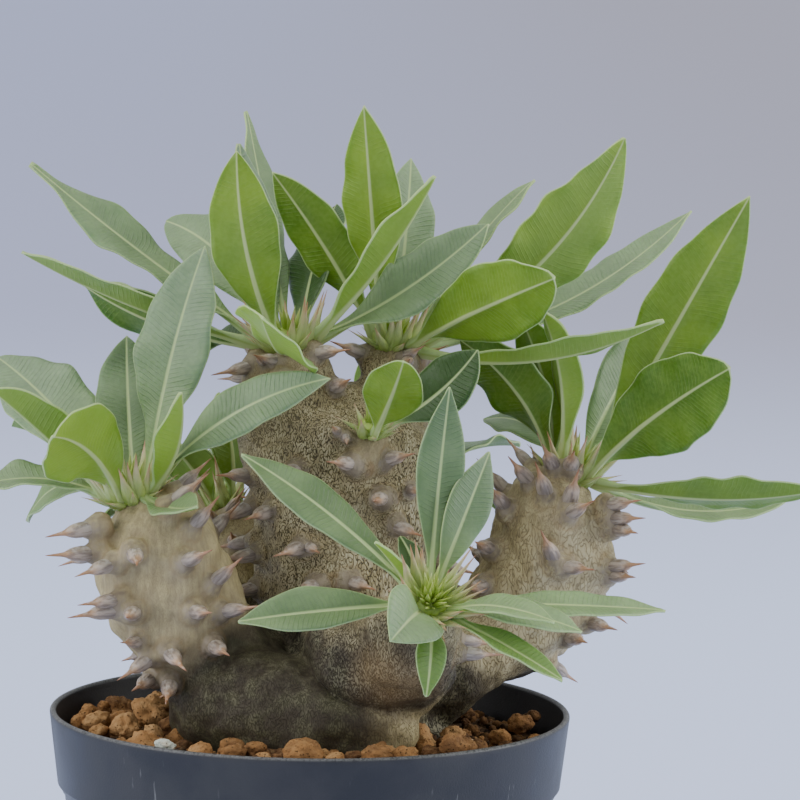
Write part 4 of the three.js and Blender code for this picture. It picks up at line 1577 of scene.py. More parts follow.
class Leaf:
    """One leaf of a tuft, set out from its row of the drawing."""

    def __init__(self, center: Array, axis: Array, crown: float, row: Row) -> None:
        """Finds the leaf's centre line and the face of its blade.

        Args:
            center: The centre of the tuft.
            axis: The tuft's axis.
            crown: The radius of the growing tip.
            row: Its tip x, y, z, width, bow, roll, fold, wave and taper.
        """
        self.width, self.bow, self.roll, self.fold, self.wave, self.taper = row[3:]
        self.tip = np.array(row[:3], float)
        radial = self.tip - center
        radial = unit(radial - axis * (radial @ axis))
        self.radial = radial
        self.base = center + radial * LEAF_ROOT * crown
        self.length = float(np.linalg.norm(self.tip - self.base))
        self.chord = unit(self.tip - self.base)
        upper = axis - LEAF_INWARD * radial
        self.upper = unit(upper - self.chord * (upper @ self.chord))
        self.middle = (self.base + self.tip) / 2 + self.upper * 2 * self.bow

    def line(self, share: Array) -> Array:
        """Returns points on the centre line."""
        t = share[:, None]
        return (1 - t) ** 2 * self.base + 2 * t * (1 - t) * self.middle + t**2 * self.tip

    def heading(self, share: Array) -> Array:
        """Returns the way the centre line runs at each share."""
        t = share[:, None]
        return unit((1 - t) * (self.middle - self.base) + t * (self.tip - self.middle))

    def frames(self, share: Array) -> tuple[Array, Array]:
        """Finds the blade's side and face directions, twist and all.

        Args:
            share: Shares of the leaf's length.

        Returns:
            The two directions at each share.
        """
        twist = np.radians(self.roll) * np.minimum(1, share / TWIST_SHARE)
        beside = np.cross(self.chord, self.upper)
        turned_up = np.outer(np.cos(twist), self.upper) + np.outer(np.sin(twist), beside)
        heading = self.heading(share)
        side = unit(np.cross(turned_up, heading))
        return side, np.cross(heading, side)

    def half_width(self, share: Array) -> Array:
        """Finds half the blade's width: a stalk, a long wedge, then a drawn-out tip.

        Args:
            share: Shares of the leaf's length.

        Returns:
            Half the width at each share, in millimetres.
        """
        swell = share**BLADE_LEAN
        power = np.where(swell < 0.5, WEDGE, self.taper)
        blade = 0.5 * self.width * np.abs(np.sin(math.pi * swell)) ** power
        ending = (share - TIP_START) / TIP_SPAN
        stalk = STALK_HALF_WIDTH * np.sqrt(np.clip(1 - ending**2 * (share > TIP_START), 0, 1))
        return np.maximum(np.maximum(blade, stalk), TIP_HALF_WIDTH)


@dataclass
class LeafBlank:
    """A flat closed sheet of fine mesh that every leaf is shaped from."""

    columns: int = 16
    rows: int = 54
    scallop: float = 0.028
    scallop_length: float = 11.0
    crimp: tuple[float, float] = (0.3, 0.55)
    crimp_length: float = 8.5
    edge_roll: float = 0.32
    thickness: float = 0.27
    stalk_thickness: float = 0.62
    keel: float = 0.85
    keel_width: float = 0.75
    groove: float = 0.26
    groove_width: float = 0.6

    def build(self, effects: Effects) -> None:
        """Models the blank and reads where each of its vertices lies.

        Args:
            effects: The shared shader groups.
        """
        deselect_all()
        bpy.ops.mesh.primitive_grid_add(
            x_subdivisions=self.columns, y_subdivisions=self.rows, size=2, location=(0, 0, 0)
        )
        self.blank = bpy.context.object
        self.blank.name = "leaf_blank"
        bpy.ops.object.mode_set(mode="EDIT")
        bpy.ops.mesh.select_all(action="SELECT")
        extrude_up()
        close_up()
        for finish in (LEAF_UPPER, LEAF_UNDER):
            self.blank.data.materials.append(finish.material(effects))
        for face in self.blank.data.polygons:
            face.material_index = 0 if face.normal.z > 0.5 else 1
        smooth_shade(self.blank)
        shape = points_of(self.blank)
        self.sideways = np.sign(shape[:, 0]) * np.abs(shape[:, 0]) ** 1.3
        self.share = np.clip((shape[:, 1] + 1) / 2, 0, 1)
        self.level = 2 * shape[:, 2] - 1

    def phase(self, draw: Generator) -> Array:
        """Returns where a wave starts, drawn once for each edge of the blade."""
        return np.where(self.sideways > 0, draw.uniform(0, TAU), draw.uniform(0, TAU))

    def lift(self, leaf: Leaf, half: Array, draw: Generator) -> Array:
        """Returns how far each vertex stands above the leaf's flat middle.

        Args:
            leaf: The leaf's line and sizes.
            half: Half the blade's width at each vertex.
            draw: The source of the leaf's own small waves.

        Returns:
            One height per vertex, in millimetres.
        """
        s, t, level = self.sideways, self.share, self.level
        onset = np.minimum(1, t / RIPPLE_ONSET)
        ripple = leaf.wave * onset * np.sin(TAU * WAVES_ALONG_LEAF * t)
        crimps = leaf.length / self.crimp_length
        phase = self.phase(draw)
        crimp = draw.uniform(*self.crimp) * onset * np.sin(TAU * crimps * t + phase) * np.abs(s) ** 3
        crimp *= 0.25 + 0.75 * smooth_step(half, 4.0, 6.5)
        rolled = -self.edge_roll * smooth_step(np.abs(s), 0.8, 1.0) * smooth_step(half, 1.5, 4.0)
        stalk = 1 - smooth_step(t, 0.02, 0.2)
        thick = self.thickness + self.stalk_thickness * stalk
        thick *= np.sqrt(np.clip(1 - (0.62 + 0.3 * stalk) * s**2, 0, 1))
        keel = (self.keel * (1 - t) + 0.08) * np.exp(-((s * half / self.keel_width) ** 2)) * (level < 0)
        groove = self.groove * (1 - t) * np.exp(-((s * half / self.groove_width) ** 2)) * (level > 0)
        waves = np.abs(s) * (leaf.fold * half + s * ripple) + crimp + rolled
        return waves + level * thick - keel - groove

    def leaf(self, leaf: Leaf, tone: tuple[float, float], seed: int) -> Object:
        """Shapes a copy of the blank into a leaf.

        Args:
            leaf: The leaf's line and sizes.
            tone: How light the leaf is and how blue-green it is.
            seed: The seed of its own small waves.

        Returns:
            The leaf, marked with where each vertex lies on the blade.
        """
        piece = copy_of(self.blank, "leaf")
        draw = default_rng(seed)
        t = self.share
        half = leaf.half_width(t)
        fullness = smooth_step(half, 4.2, 6.5) * np.minimum(1, t / RIPPLE_ONSET)
        scallop = np.sin(TAU * t * leaf.length / self.scallop_length + self.phase(draw))
        half = half * (1 + self.scallop * fullness * scallop)
        side, face = leaf.frames(t)
        across = self.sideways * half
        lift = self.lift(leaf, half, draw)
        set_points(piece, leaf.line(t) + side * across[:, None] + face * lift[:, None])
        inward = np.minimum(half * (1 - np.abs(self.sideways)), (1 - t) * leaf.length * 0.8)
        mark(piece, "blade", np.column_stack([across, t * leaf.length, inward]))
        mark(piece, "leaf_tone", np.column_stack([t, *(np.full_like(t, value) for value in tone)]))
        return piece


class Tuft:
    """A leaf tuft: the domed growing tip, its young spines and all its leaves."""

    def __init__(self, name: str, center: Row, axis: Row, crown: float, rows: list[Row]) -> None:
        """Takes the tuft's rows of the drawing.

        Args:
            name: The name of its node.
            center: The centre of the growing tip.
            axis: The way the tuft faces.
            crown: The radius of the growing tip.
            rows: One row per leaf.
        """
        self.name = name
        self.center = np.array(center, float)
        self.axis = unit(np.array(axis, float))
        self.crown = crown
        self.leaves = [Leaf(self.center, self.axis, crown, row) for row in rows]
        self.rim_spines = round(2.2 * crown)
        self.spine_size = min(1.0, crown / USUAL_CROWN)

    def young_spines(self, draw: Generator) -> list[SpinePlace]:
        """Places the young spines: a pair beside each stalk and a ring round the middle.

        Args:
            draw: The source of the tuft's draws.

        Returns:
            Their places.
        """
        places = []
        for leaf in self.leaves:
            if leaf.length < SHORTEST_SPINED_LEAF:
                continue
            beside = unit(np.cross(self.axis, leaf.radial))
            for side in (-1, 1):
                root = leaf.base - 0.9 * leaf.radial + side * 1.6 * beside - 1.2 * self.axis
                way = 0.55 * leaf.radial + 0.45 * side * beside + draw.uniform(0.7, 1.5) * self.axis
                places.append(SpinePlace(root, unit(way), draw.uniform(1.0, 1.4) * self.spine_size))
        for number in range(self.rim_spines):
            angle = number * TAU / self.rim_spines + draw.uniform(-0.2, 0.2)
            outward = on_circle(np.zeros(3), self.axis, 1.0, angle)
            root = self.center + outward * 0.85 * self.crown - 0.9 * self.axis
            way = unit(outward + draw.uniform(0.3, 1.0) * self.axis)
            places.append(SpinePlace(root, way, draw.uniform(0.6, 0.85) * self.spine_size))
        return places

    def brush(self, draw: Generator) -> list[SpinePlace]:
        """Places the soft green tips that crowd the middle of the tuft.

        Args:
            draw: The source of the tuft's draws.

        Returns:
            Their places.
        """
        count = FRONT_BRUSH if self.name == "rosette_front" else BRUSH
        places = []
        for number in range(count):
            outward = math.sqrt((number + 0.5) / count)
            angle = number * GOLDEN_ANGLE + draw.uniform(0, 0.5)
            way = unit(on_circle(np.zeros(3), self.axis, 0.7 * outward, angle) + self.axis)
            root = self.center + way * 0.35 * self.crown + 0.25 * outward * (way - self.axis) * self.crown
            places.append(SpinePlace(root, way, draw.uniform(0.6, 0.95) * self.spine_size))
        return places

    def dome(self) -> Object:
        """Models the growing tip: a low dome with the lumps of the next stalks and spines.

        Returns:
            The dome.
        """
        deselect_all()
        bpy.ops.mesh.primitive_ico_sphere_add(subdivisions=4, radius=1, location=(0, 0, 0))
        piece = bpy.context.object
        ball = points_of(piece)
        rough = 1 + 0.05 * Lumps(0.55, 31).at(ball)
        side, rise = square_to(self.axis)
        local = ball * rough[:, None] * self.crown * np.array([0.86, 0.86, 0.6])
        set_points(piece, self.center + local @ np.array([side, rise, self.axis]))
        mark(piece, "along", np.clip(0.3 + 0.25 * ball[:, 2], 0, 1))
        smooth_shade(piece)
        return piece

    def build(self, blank: LeafBlank, spike: Spike, bract: Spike, seed: int) -> Object:
        """Models the tuft.

        Args:
            blank: The sheet that its leaves are shaped from.
            spike: The young spine.
            bract: The soft green tip of the middle.
            seed: The seed of its draws.

        Returns:
            The tuft as one piece.
        """
        draw = default_rng(seed)
        tones = LEAF_TONES.get(self.name, [])
        parts = []
        for number, leaf in enumerate(self.leaves):
            if number < len(tones):
                tone = tones[number]
            else:
                tone = (draw.uniform(0.2, 0.8), draw.uniform(0, 0.7))
            parts.append(blank.leaf(leaf, tone, seed + number))
        for place in self.young_spines(draw):
            parts.append(spike.placed(place, draw.uniform(-0.6, 0.6), "young_spine"))
        for place in self.brush(draw):
            parts.append(bract.placed(place, draw.uniform(-0.5, 0.5), "bract"))
        dome = self.dome()
        wear(dome, bract.blank.data.materials[0])
        return join([*parts, dome], self.name + "_leaves")


USUAL_CROWN = 4.4
SHORTEST_SPINED_LEAF = 14
BRUSH = 12
FRONT_BRUSH = 34
YOUNG_PROFILE = [
    (-0.6, 1.1), (0.3, 1.45), (1.4, 1.4), (2.6, 1.2), (3.8, 0.92), (5.0, 0.64), (6.2, 0.42),
    (7.3, 0.26), (8.4, 0.13), (9.4, 0.03),
]
BRACT_PROFILE = [
    (-0.6, 0.75), (0.6, 0.85), (2.0, 0.8), (3.4, 0.66), (4.8, 0.48), (6.0, 0.3), (7.0, 0.15), (7.8, 0.03),
]
# How light and how blue-green each leaf is, in the order of the tuft's rows. The lightness is partly each
# leaf's own green and partly painted shade on leaves that lie in shadow.
# Below 0 the second number turns the leaf lime.
LEAF_TONES: dict[str, list[tuple[float, float]]] = {
    "rosette_left": [
        (1, 0.6), (1, 0.2), (1, -0.2), (0.8, 0.3), (0.85, 0.5), (0.45, 0.4), (1, -0.3), (0.72, 0.4),
        (1, 0.1), (0.8, -0.2), (0.3, 0.2),
    ],
    "rosette_top_left": [
        (0.7, 0.3), (0.8, 0.7), (-0.1, 0), (0.62, 0), (0.6, 0.3), (0.5, 0.8), (0.9, 0.4), (1, -0.5),
        (0.8, -0.2), (0.6, 0.45), (0.2, 0), (-0.1, 0),
    ],
    "rosette_top_right": [
        (0.88, 0), (0.9, 0.5), (0.55, 0), (0.9, 0.2), (0.8, 0.2), (0.9, 0.4), (1, 0.4), (0.6, 0.3),
        (0.25, 0),
    ],
    "rosette_side_bud": [(0.85, 0), (-0.45, 0)],
    "rosette_right": [
        (0.6, 0), (0.12, 0), (0.35, -0.1), (0.8, 0), (0.1, 0), (0.5, 0), (0.9, -0.3), (0.6, 0.3), (0.5, 0.3),
    ],
    "rosette_front": [
        (0.45, 0.12), (0.55, 0.15), (0.38, 0.35), (0.6, 0.4), (0.95, 0.2), (1, 0.2), (0.9, 0.1), (0.7, -0.5),
        (0.3, -0.4), (1, 0.3), (-0.2, 0), (1, -0.3),
    ],
}
# The stems of the woody body, from the part's own drawing: rows of x, y, z and radius.
STEMS = [
    Stem("foot", 0, 0, 0, [
        (4, 2, 38, 4), (4, 2, 50, 9), (4, 2, 64, 15), (3, 2, 76, 20), (2, 1, 86, 23), (3, 2, 95, 23),
        (5, 3, 104, 18), (6, 4, 110, 10),
    ]),
    Stem("front_lobe", 3, 200, 0.1, [
        (-25, -12, 93, 7), (-18, -16, 94, 11), (-8, -20, 93.2, 12), (4, -24, 91.2, 10.5),
        (12, -26.6, 90.6, 8.2), (17, -27.6, 91, 6), (19.4, -28, 91.2, 4),
    ]),
    Stem("trunk", 12, 8, 0.22, [
        (6, 3, 84, 22), (6, 4, 98, 19.5), (6, 4, 110, 17.6), (5.5, 4, 122, 17.2), (5, 4, 133, 17.6),
        (4.5, 4, 142, 18.6), (4.5, 4, 149, 16.5), (5, 4, 154, 8),
    ]),
    Stem("top_left", 5, 150, 0.45, [
        (1.5, 3, 138, 12.5), (-4, 2, 148, 11.8), (-6.5, 1, 155, 10.8), (-6, 0, 160, 8),
        (-5, 0, 163, 4.5),
    ]),
    Stem("top_right", 4, 100, 0.5, [
        (13, 4, 138, 10), (14.8, 5, 147, 8.8), (14.3, 5.5, 154, 6.6), (15.2, 6, 159, 5.8),
        (16, 6, 162, 3.8),
    ]),
    Stem("side_bud", 0, 0, 0, [
        (9, -6, 141, 6), (10.3, -11, 144.5, 4.6), (11, -13.5, 147.5, 3),
    ]),
    Stem("left", 14, 60, 0.2, [
        (-2, -2, 84, 15), (-9.5, -6.5, 91, 14), (-15.2, -9.5, 98, 12.4), (-20.8, -12, 105, 11.4),
        (-26.2, -13.5, 112, 12.4), (-29.8, -14, 119, 13.5), (-32, -14, 126, 13), (-34.5, -14, 131, 9.5),
        (-36, -14, 133.6, 4.5),
    ]),
    Stem("right", 12, 20, 0.34, [
        (12, 2, 94, 15), (21, 2, 97.5, 12.5), (30, 4, 101, 10.8), (37, 6.5, 104, 10.6),
        (42, 8.5, 108, 11.4), (45.5, 9.5, 113.5, 12.8), (48, 10, 119.5, 13.8), (50.3, 9.5, 126, 13.6),
        (51.8, 9, 132, 10.5), (52.3, 8.5, 136, 5),
    ]),
    Stem("front", 5, 250, 0.45, [
        (6, -4, 93, 12), (10, -13, 98, 12.5), (14.5, -21, 102.5, 12), (18.5, -29, 107.5, 11),
        (21, -35, 112.5, 9), (22.4, -39, 116, 5),
    ]),
    Stem("back_left", 6, 40, 0.3, [
        (-4, 8, 84, 14), (-10, 16, 94, 11), (-14, 22, 104, 9.6), (-17, 26, 114, 9.8),
        (-18.5, 28, 121, 8), (-18.7, 28, 125, 4),
    ]),
    Stem("back", 6, 130, 0.3, [
        (8, 10, 84, 15), (12, 19, 95, 12), (15, 26, 105, 10.4), (16, 30, 115, 10.4),
        (16, 32, 123, 8.4), (16, 32.5, 127.5, 4),
    ]),
]
# The leaf tufts, from the part's own drawing: centre, axis, tip radius, then each leaf's tip x, y, z,
# width, bow, roll, fold, wave and taper.
TUFTS = [
    Tuft("rosette_left", (-36.2, -14, 135), (-0.25, -0.1, 1), 5.2, [
        (-64, 10, 159, 17, 3, -15, 0.15, 0.5, 0.7),
        (-63, -24, 157, 11, 0.5, 26, 0.7, 0.3, 0.8),
        (-50, -41, 150, 18, 3.5, 45, 0.2, 0.4, 0.7),
        (-68, -10, 135, 12, 3, -8, 0.25, 0.5, 0.8),
        (-22, -8, 184, 15.5, 1.5, 45, 0.12, 0.5, 0.85),
        (-38, 8, 164, 13, 1, 14, 0.1, 0.3, 0.85),
        (-26, -26, 157, 9, -3, 0, 0.7, 0.2, 0.9),
        (3, -25, 160, 11, 4, 50, 0.15, 0.3, 0.85),
        (-22.4, -34, 135.7, 9, -1.5, 12, 0.4, 0.2, 0.8),
        (-58, 15, 125, 9, 5, -40, 0.2, 0.3, 0.85),
        (-61, 13, 145, 12, 3, 45, 0.2, 0.3, 0.8),
    ]),
    Tuft("rosette_top_left", (-5, 0, 164), (-0.15, 0, 1), 5.4, [
        (-58, 14, 198, 11, -1, -26, 0.2, 1.1, 0.95),
        (-59, 6, 181, 9, -2, 25, 0.4, 0.3, 0.95),
        (-47, 20, 173, 13, -3, 70, 0.2, 1, 0.8),
        (-16, -10, 203, 14, -5, 20, 0.12, 0.3, 0.8),
        (-15, 34, 208, 11, 1, 55, 0.2, 0.4, 0.95),
        (-16, 11, 203, 13, -3, 19, 0.15, 0.4, 0.85),
        (-31, 34, 185, 13, 5, -35, 0.15, 0.3, 0.65),
        (-10.2, -35, 172.8, 20, -3, -44, 0.1, 0.1, 0.45),
        (23, -14, 199, 7.5, -2, -8, 0.9, 0.4, 0.95),
        (34, -6, 189, 14, -2, 52, 0.15, 0.3, 0.8),
        (-24, 22, 158, 8, 3, -27, 0.3, 0.3, 0.85),
        (4, 22, 190, 15, 2, -16, 0.15, 0.3, 0.8),
    ]),
    Tuft("rosette_top_right", (16, 6, 163.5), (0.15, 0.05, 1), 4.6, [
        (9, -4, 212, 12.5, 0, 30, 0.12, 0.5, 0.9),
        (19, 30, 199, 12, 3, 12, 0.15, 0.3, 0.9),
        (46, -32, 181, 16.5, 0.5, -55, 0.12, 0.3, 0.62),
        (61, 2, 206, 17, -6, -60, 0.1, 0.7, 0.85),
        (44, 18, 196, 11, 2, 0, 0.2, 0.4, 0.95),
        (77, 32, 189, 12, -6, 16, 0.2, 0.4, 0.9),
        (68, -22, 172, 8, -5, -20, 0.45, 0.3, 0.9),
        (48, 32, 172, 13, 4, 0, 0.2, 0.4, 0.8),
        (-9, 3, 198, 12, 1, 60, 0.15, 0.3, 0.85),
    ]),
    Tuft("rosette_side_bud", (11.2, -14.2, 149), (0.2, -0.35, 0.9), 3, [
        (17.2, -28, 164, 12, -1, -22, 0.12, 0.2, 0.6),
        (32, -16, 165, 12, -2, 33, 0.12, 0.3, 0.8),
    ]),
    Tuft("rosette_right", (52.5, 8.5, 137.4), (0.25, 0, 1), 5, [
        (86, -2, 195, 16, 0, -68, 0.12, 0.6, 0.9),
        (81, -24, 163, 18, 1.5, -62, 0.12, 0.4, 0.62),
        (100, -2, 136, 12, -2.5, -35, 0.25, 0.15, 0.5),
        (99, 30, 130, 10, -5, 15, 0.2, 0.2, 0.9),
        (29, 4, 165, 15, 3, 50, 0.12, 0.4, 0.8),
        (41, 7, 170, 12, 2, 50, 0.15, 0.3, 0.8),
        (45, -4, 172, 8, 3, 10, 0.6, 0.3, 0.85),
        (70, 36, 164, 12, 3, 40, 0.2, 0.4, 0.85),
        (35, 31, 145, 12, 4, -28, 0.2, 0.3, 0.85),
    ]),
    Tuft("rosette_front", (22.8, -41, 118.4), (0.2, -0.75, 0.62), 4.6, [
        (-14, -34, 146, 9.5, 3, 0, 0.15, 0.2, 0.95),
        (-14, -48, 115.6, 9.5, 1, 0, 0.42, 0.2, 0.95),
        (26, -36, 160, 9.5, -1, 0, 0.12, 0.2, 0.95),
        (34, -32, 147, 9.5, 1, 25, 0.15, 0.2, 0.95),
        (69, -31, 116, 9, 1, -29, 0.2, 0.2, 0.98),
        (52, -45, 114, 9, 3, -21, 0.2, 0.2, 0.9),
        (46, -58, 118, 7.5, 3, -18, 0.3, 0.2, 0.9),
        (48, -54, 106, 6.5, 1, -17, 0.35, 0.2, 0.9),
        (22, -56, 103, 6, 3, 0, 0.2, 0.1, 0.9),
        (15, -58, 114, 13, 3, -15, 0.45, 0.1, 0.8),
        (17, -32, 130, 4.5, 1, 0, 0.2, 0.1, 0.9),
        (12, -45, 131, 4.5, 1, 60, 0.5, 0.1, 0.95),
    ]),
    Tuft("rosette_back_left", (-18.8, 28.2, 126.5), (-0.3, 0.4, 0.9), 4.2, [
        (-20, 31, 150, 11, -2, 0, 0.15, 0.3, 0.85),
        (-29, 22, 140, 11, 2, 0, 0.15, 0.3, 0.8),
        (-50, 33, 136, 12, 4, 0, 0.15, 0.4, 0.85),
        (-38, 56, 133, 13, 4, 0, 0.15, 0.4, 0.85),
        (-14, 62, 138, 13, 4, 0, 0.15, 0.4, 0.85),
        (-36, 44, 152, 12, -2, 0, 0.15, 0.3, 0.85),
        (-44, 20, 124, 9, 4, 0, 0.2, 0.3, 0.85),
    ]),
    Tuft("rosette_back", (16, 32.8, 129.2), (0.1, 0.35, 0.95), 4.4, [
        (12, 38, 160, 13, -2, 0, 0.15, 0.3, 0.85),
        (30, 52, 152, 14, 2, 0, 0.15, 0.4, 0.8),
        (44, 62, 136, 13, 4, 0, 0.2, 0.5, 0.85),
        (22, 72, 134, 14, 5, 0, 0.15, 0.5, 0.85),
        (2, 60, 150, 13, 2, 0, 0.15, 0.4, 0.85),
        (40, 40, 124, 10, 4, 0, 0.2, 0.4, 0.85),
        (8, 56, 124, 10, 4, 0, 0.2, 0.3, 0.85),
    ]),
]


@dataclass
class Pot:
    """The moulded nursery pot: a thin tapering wall with a band, a step and a round lip."""

    columns: int = 160
    lip: float = 0.65
    foot_recess: float = 0.6

    def profile(self) -> list[tuple[float, float]]:
        """Returns the wall's outline, from the middle of its foot to the middle of its floor."""
        lip = (RIM_RADIUS - self.lip, POT_HEIGHT - self.lip)
        foot = rounded((BASE_RADIUS - BASE_CHAMFER, BASE_CHAMFER), BASE_CHAMFER, -90, -6, 6)
        band = rounded((BAND_RADIUS - 0.5, BAND_LOW + 0.4), 0.5, -60, 0, 4)
        corner = rounded((BASE_RADIUS - WALL - FLOOR_FILLET, WALL + FLOOR_FILLET), FLOOR_FILLET, 0, -90, 5)
        slope = (BAND_RADIUS - NECK_RADIUS) / STEP_HEIGHT
        return [
            (0.01, self.foot_recess),
            (20.0, self.foot_recess),
            (BASE_RADIUS - 3.4, self.foot_recess),
            (BASE_RADIUS - 2.8, 0.0),
            *foot,
            *self.even((BASE_RADIUS, BASE_CHAMFER), (NECK_RADIUS - 0.03, STEP_LOW - 0.5), 14),
            (NECK_RADIUS + 0.05, STEP_LOW),
            (NECK_RADIUS + 0.6 * slope, STEP_LOW + 0.6),
            (BAND_RADIUS - 0.45, BAND_LOW - 0.25),
            *band,
            *self.even((BAND_RADIUS, BAND_LOW + 0.6), (RIM_RADIUS - 0.12, POT_HEIGHT - 1.6), 6),
            *rounded(lip, self.lip, 0, 180, 11),
            *self.even((RIM_RADIUS - WALL, POT_HEIGHT - 1.2), (BAND_RADIUS - WALL, BAND_LOW), 5),
            (NECK_RADIUS - WALL, STEP_LOW - 0.3),
            *self.even((NECK_RADIUS - WALL, STEP_LOW - 1), (BASE_RADIUS - WALL, WALL + FLOOR_FILLET), 6),
            *corner[1:],
            (20.0, WALL),
            (0.01, WALL),
        ]

    @staticmethod
    def even(start: tuple[float, float], end: tuple[float, float], count: int) -> list[tuple[float, float]]:
        """Returns evenly spaced points of a straight stretch, both ends included."""
        return [tuple(point) for point in np.linspace(start, end, count)]

    def build(self, effects: Effects) -> Object:
        """Models the pot, a shade out of round, and cuts its drain holes.

        Args:
            effects: The shared shader groups.

        Returns:
            The pot.
        """
        profile = self.profile()
        pot = extruded_tube("pot_wall", self.columns, len(profile))
        rings = turned(profile, self.columns)
        angle = np.arange(self.columns) * TAU / self.columns
        high = (rings[..., 2] / POT_HEIGHT) ** 2
        rings[..., 2] += 0.12 * np.sin(3 * angle + 0.4) * high * (rings[..., 2] < POT_HEIGHT - 3)
        rings[..., :2] *= (1 - 0.0016 * high * (1 + np.sin(2 * angle + 0.7)))[..., None]
        shape_rings(pot, rings)
        for number in range(DRAIN_HOLES):
            self.drill(pot, number * TAU / DRAIN_HOLES)
        wear(pot, PotFinish().material(effects))
        smooth_shade(pot, 32)
        return pot

    @staticmethod
    def drill(pot: Object, angle: float) -> None:
        """Cuts one drain hole through the floor of the pot.

        Args:
            pot: The pot.
            angle: Where on the drain circle the hole is.
        """
        deselect_all()
        place = (DRAIN_CIRCLE * math.cos(angle) * MM, DRAIN_CIRCLE * math.sin(angle) * MM, 0)
        bpy.ops.mesh.primitive_cylinder_add(
            vertices=24, radius=DRAIN_RADIUS * MM, depth=8 * WALL * MM, location=place
        )
        cutter = bpy.context.object
        finish_with(pot, "BOOLEAN", operation="DIFFERENCE", object=cutter, solver="EXACT")
        scrap(cutter)


@dataclass(frozen=True)
class Scatter:
    """One kind of grain that lies all over the bed: its count, sizes, tones, form and seeds."""

    tries: int
    smallest: float
    largest: float
    tone: float
    tone_spread: float
    fineness: int
    roughness: float
    shape_seed: int
    seed: int


CRUMBS = Scatter(
    tries=1100, smallest=0.5, largest=1.7, tone=0.26, tone_spread=0.2, fineness=2, roughness=0.16,
    shape_seed=60, seed=5,
)
CLAY = Scatter(
    tries=150, smallest=1.8, largest=4.0, tone=0.5, tone_spread=0.13, fineness=4, roughness=0.13,
    shape_seed=80, seed=6,
)
LARGE_GRAIN = 1.6
PLACED_SEED = 7


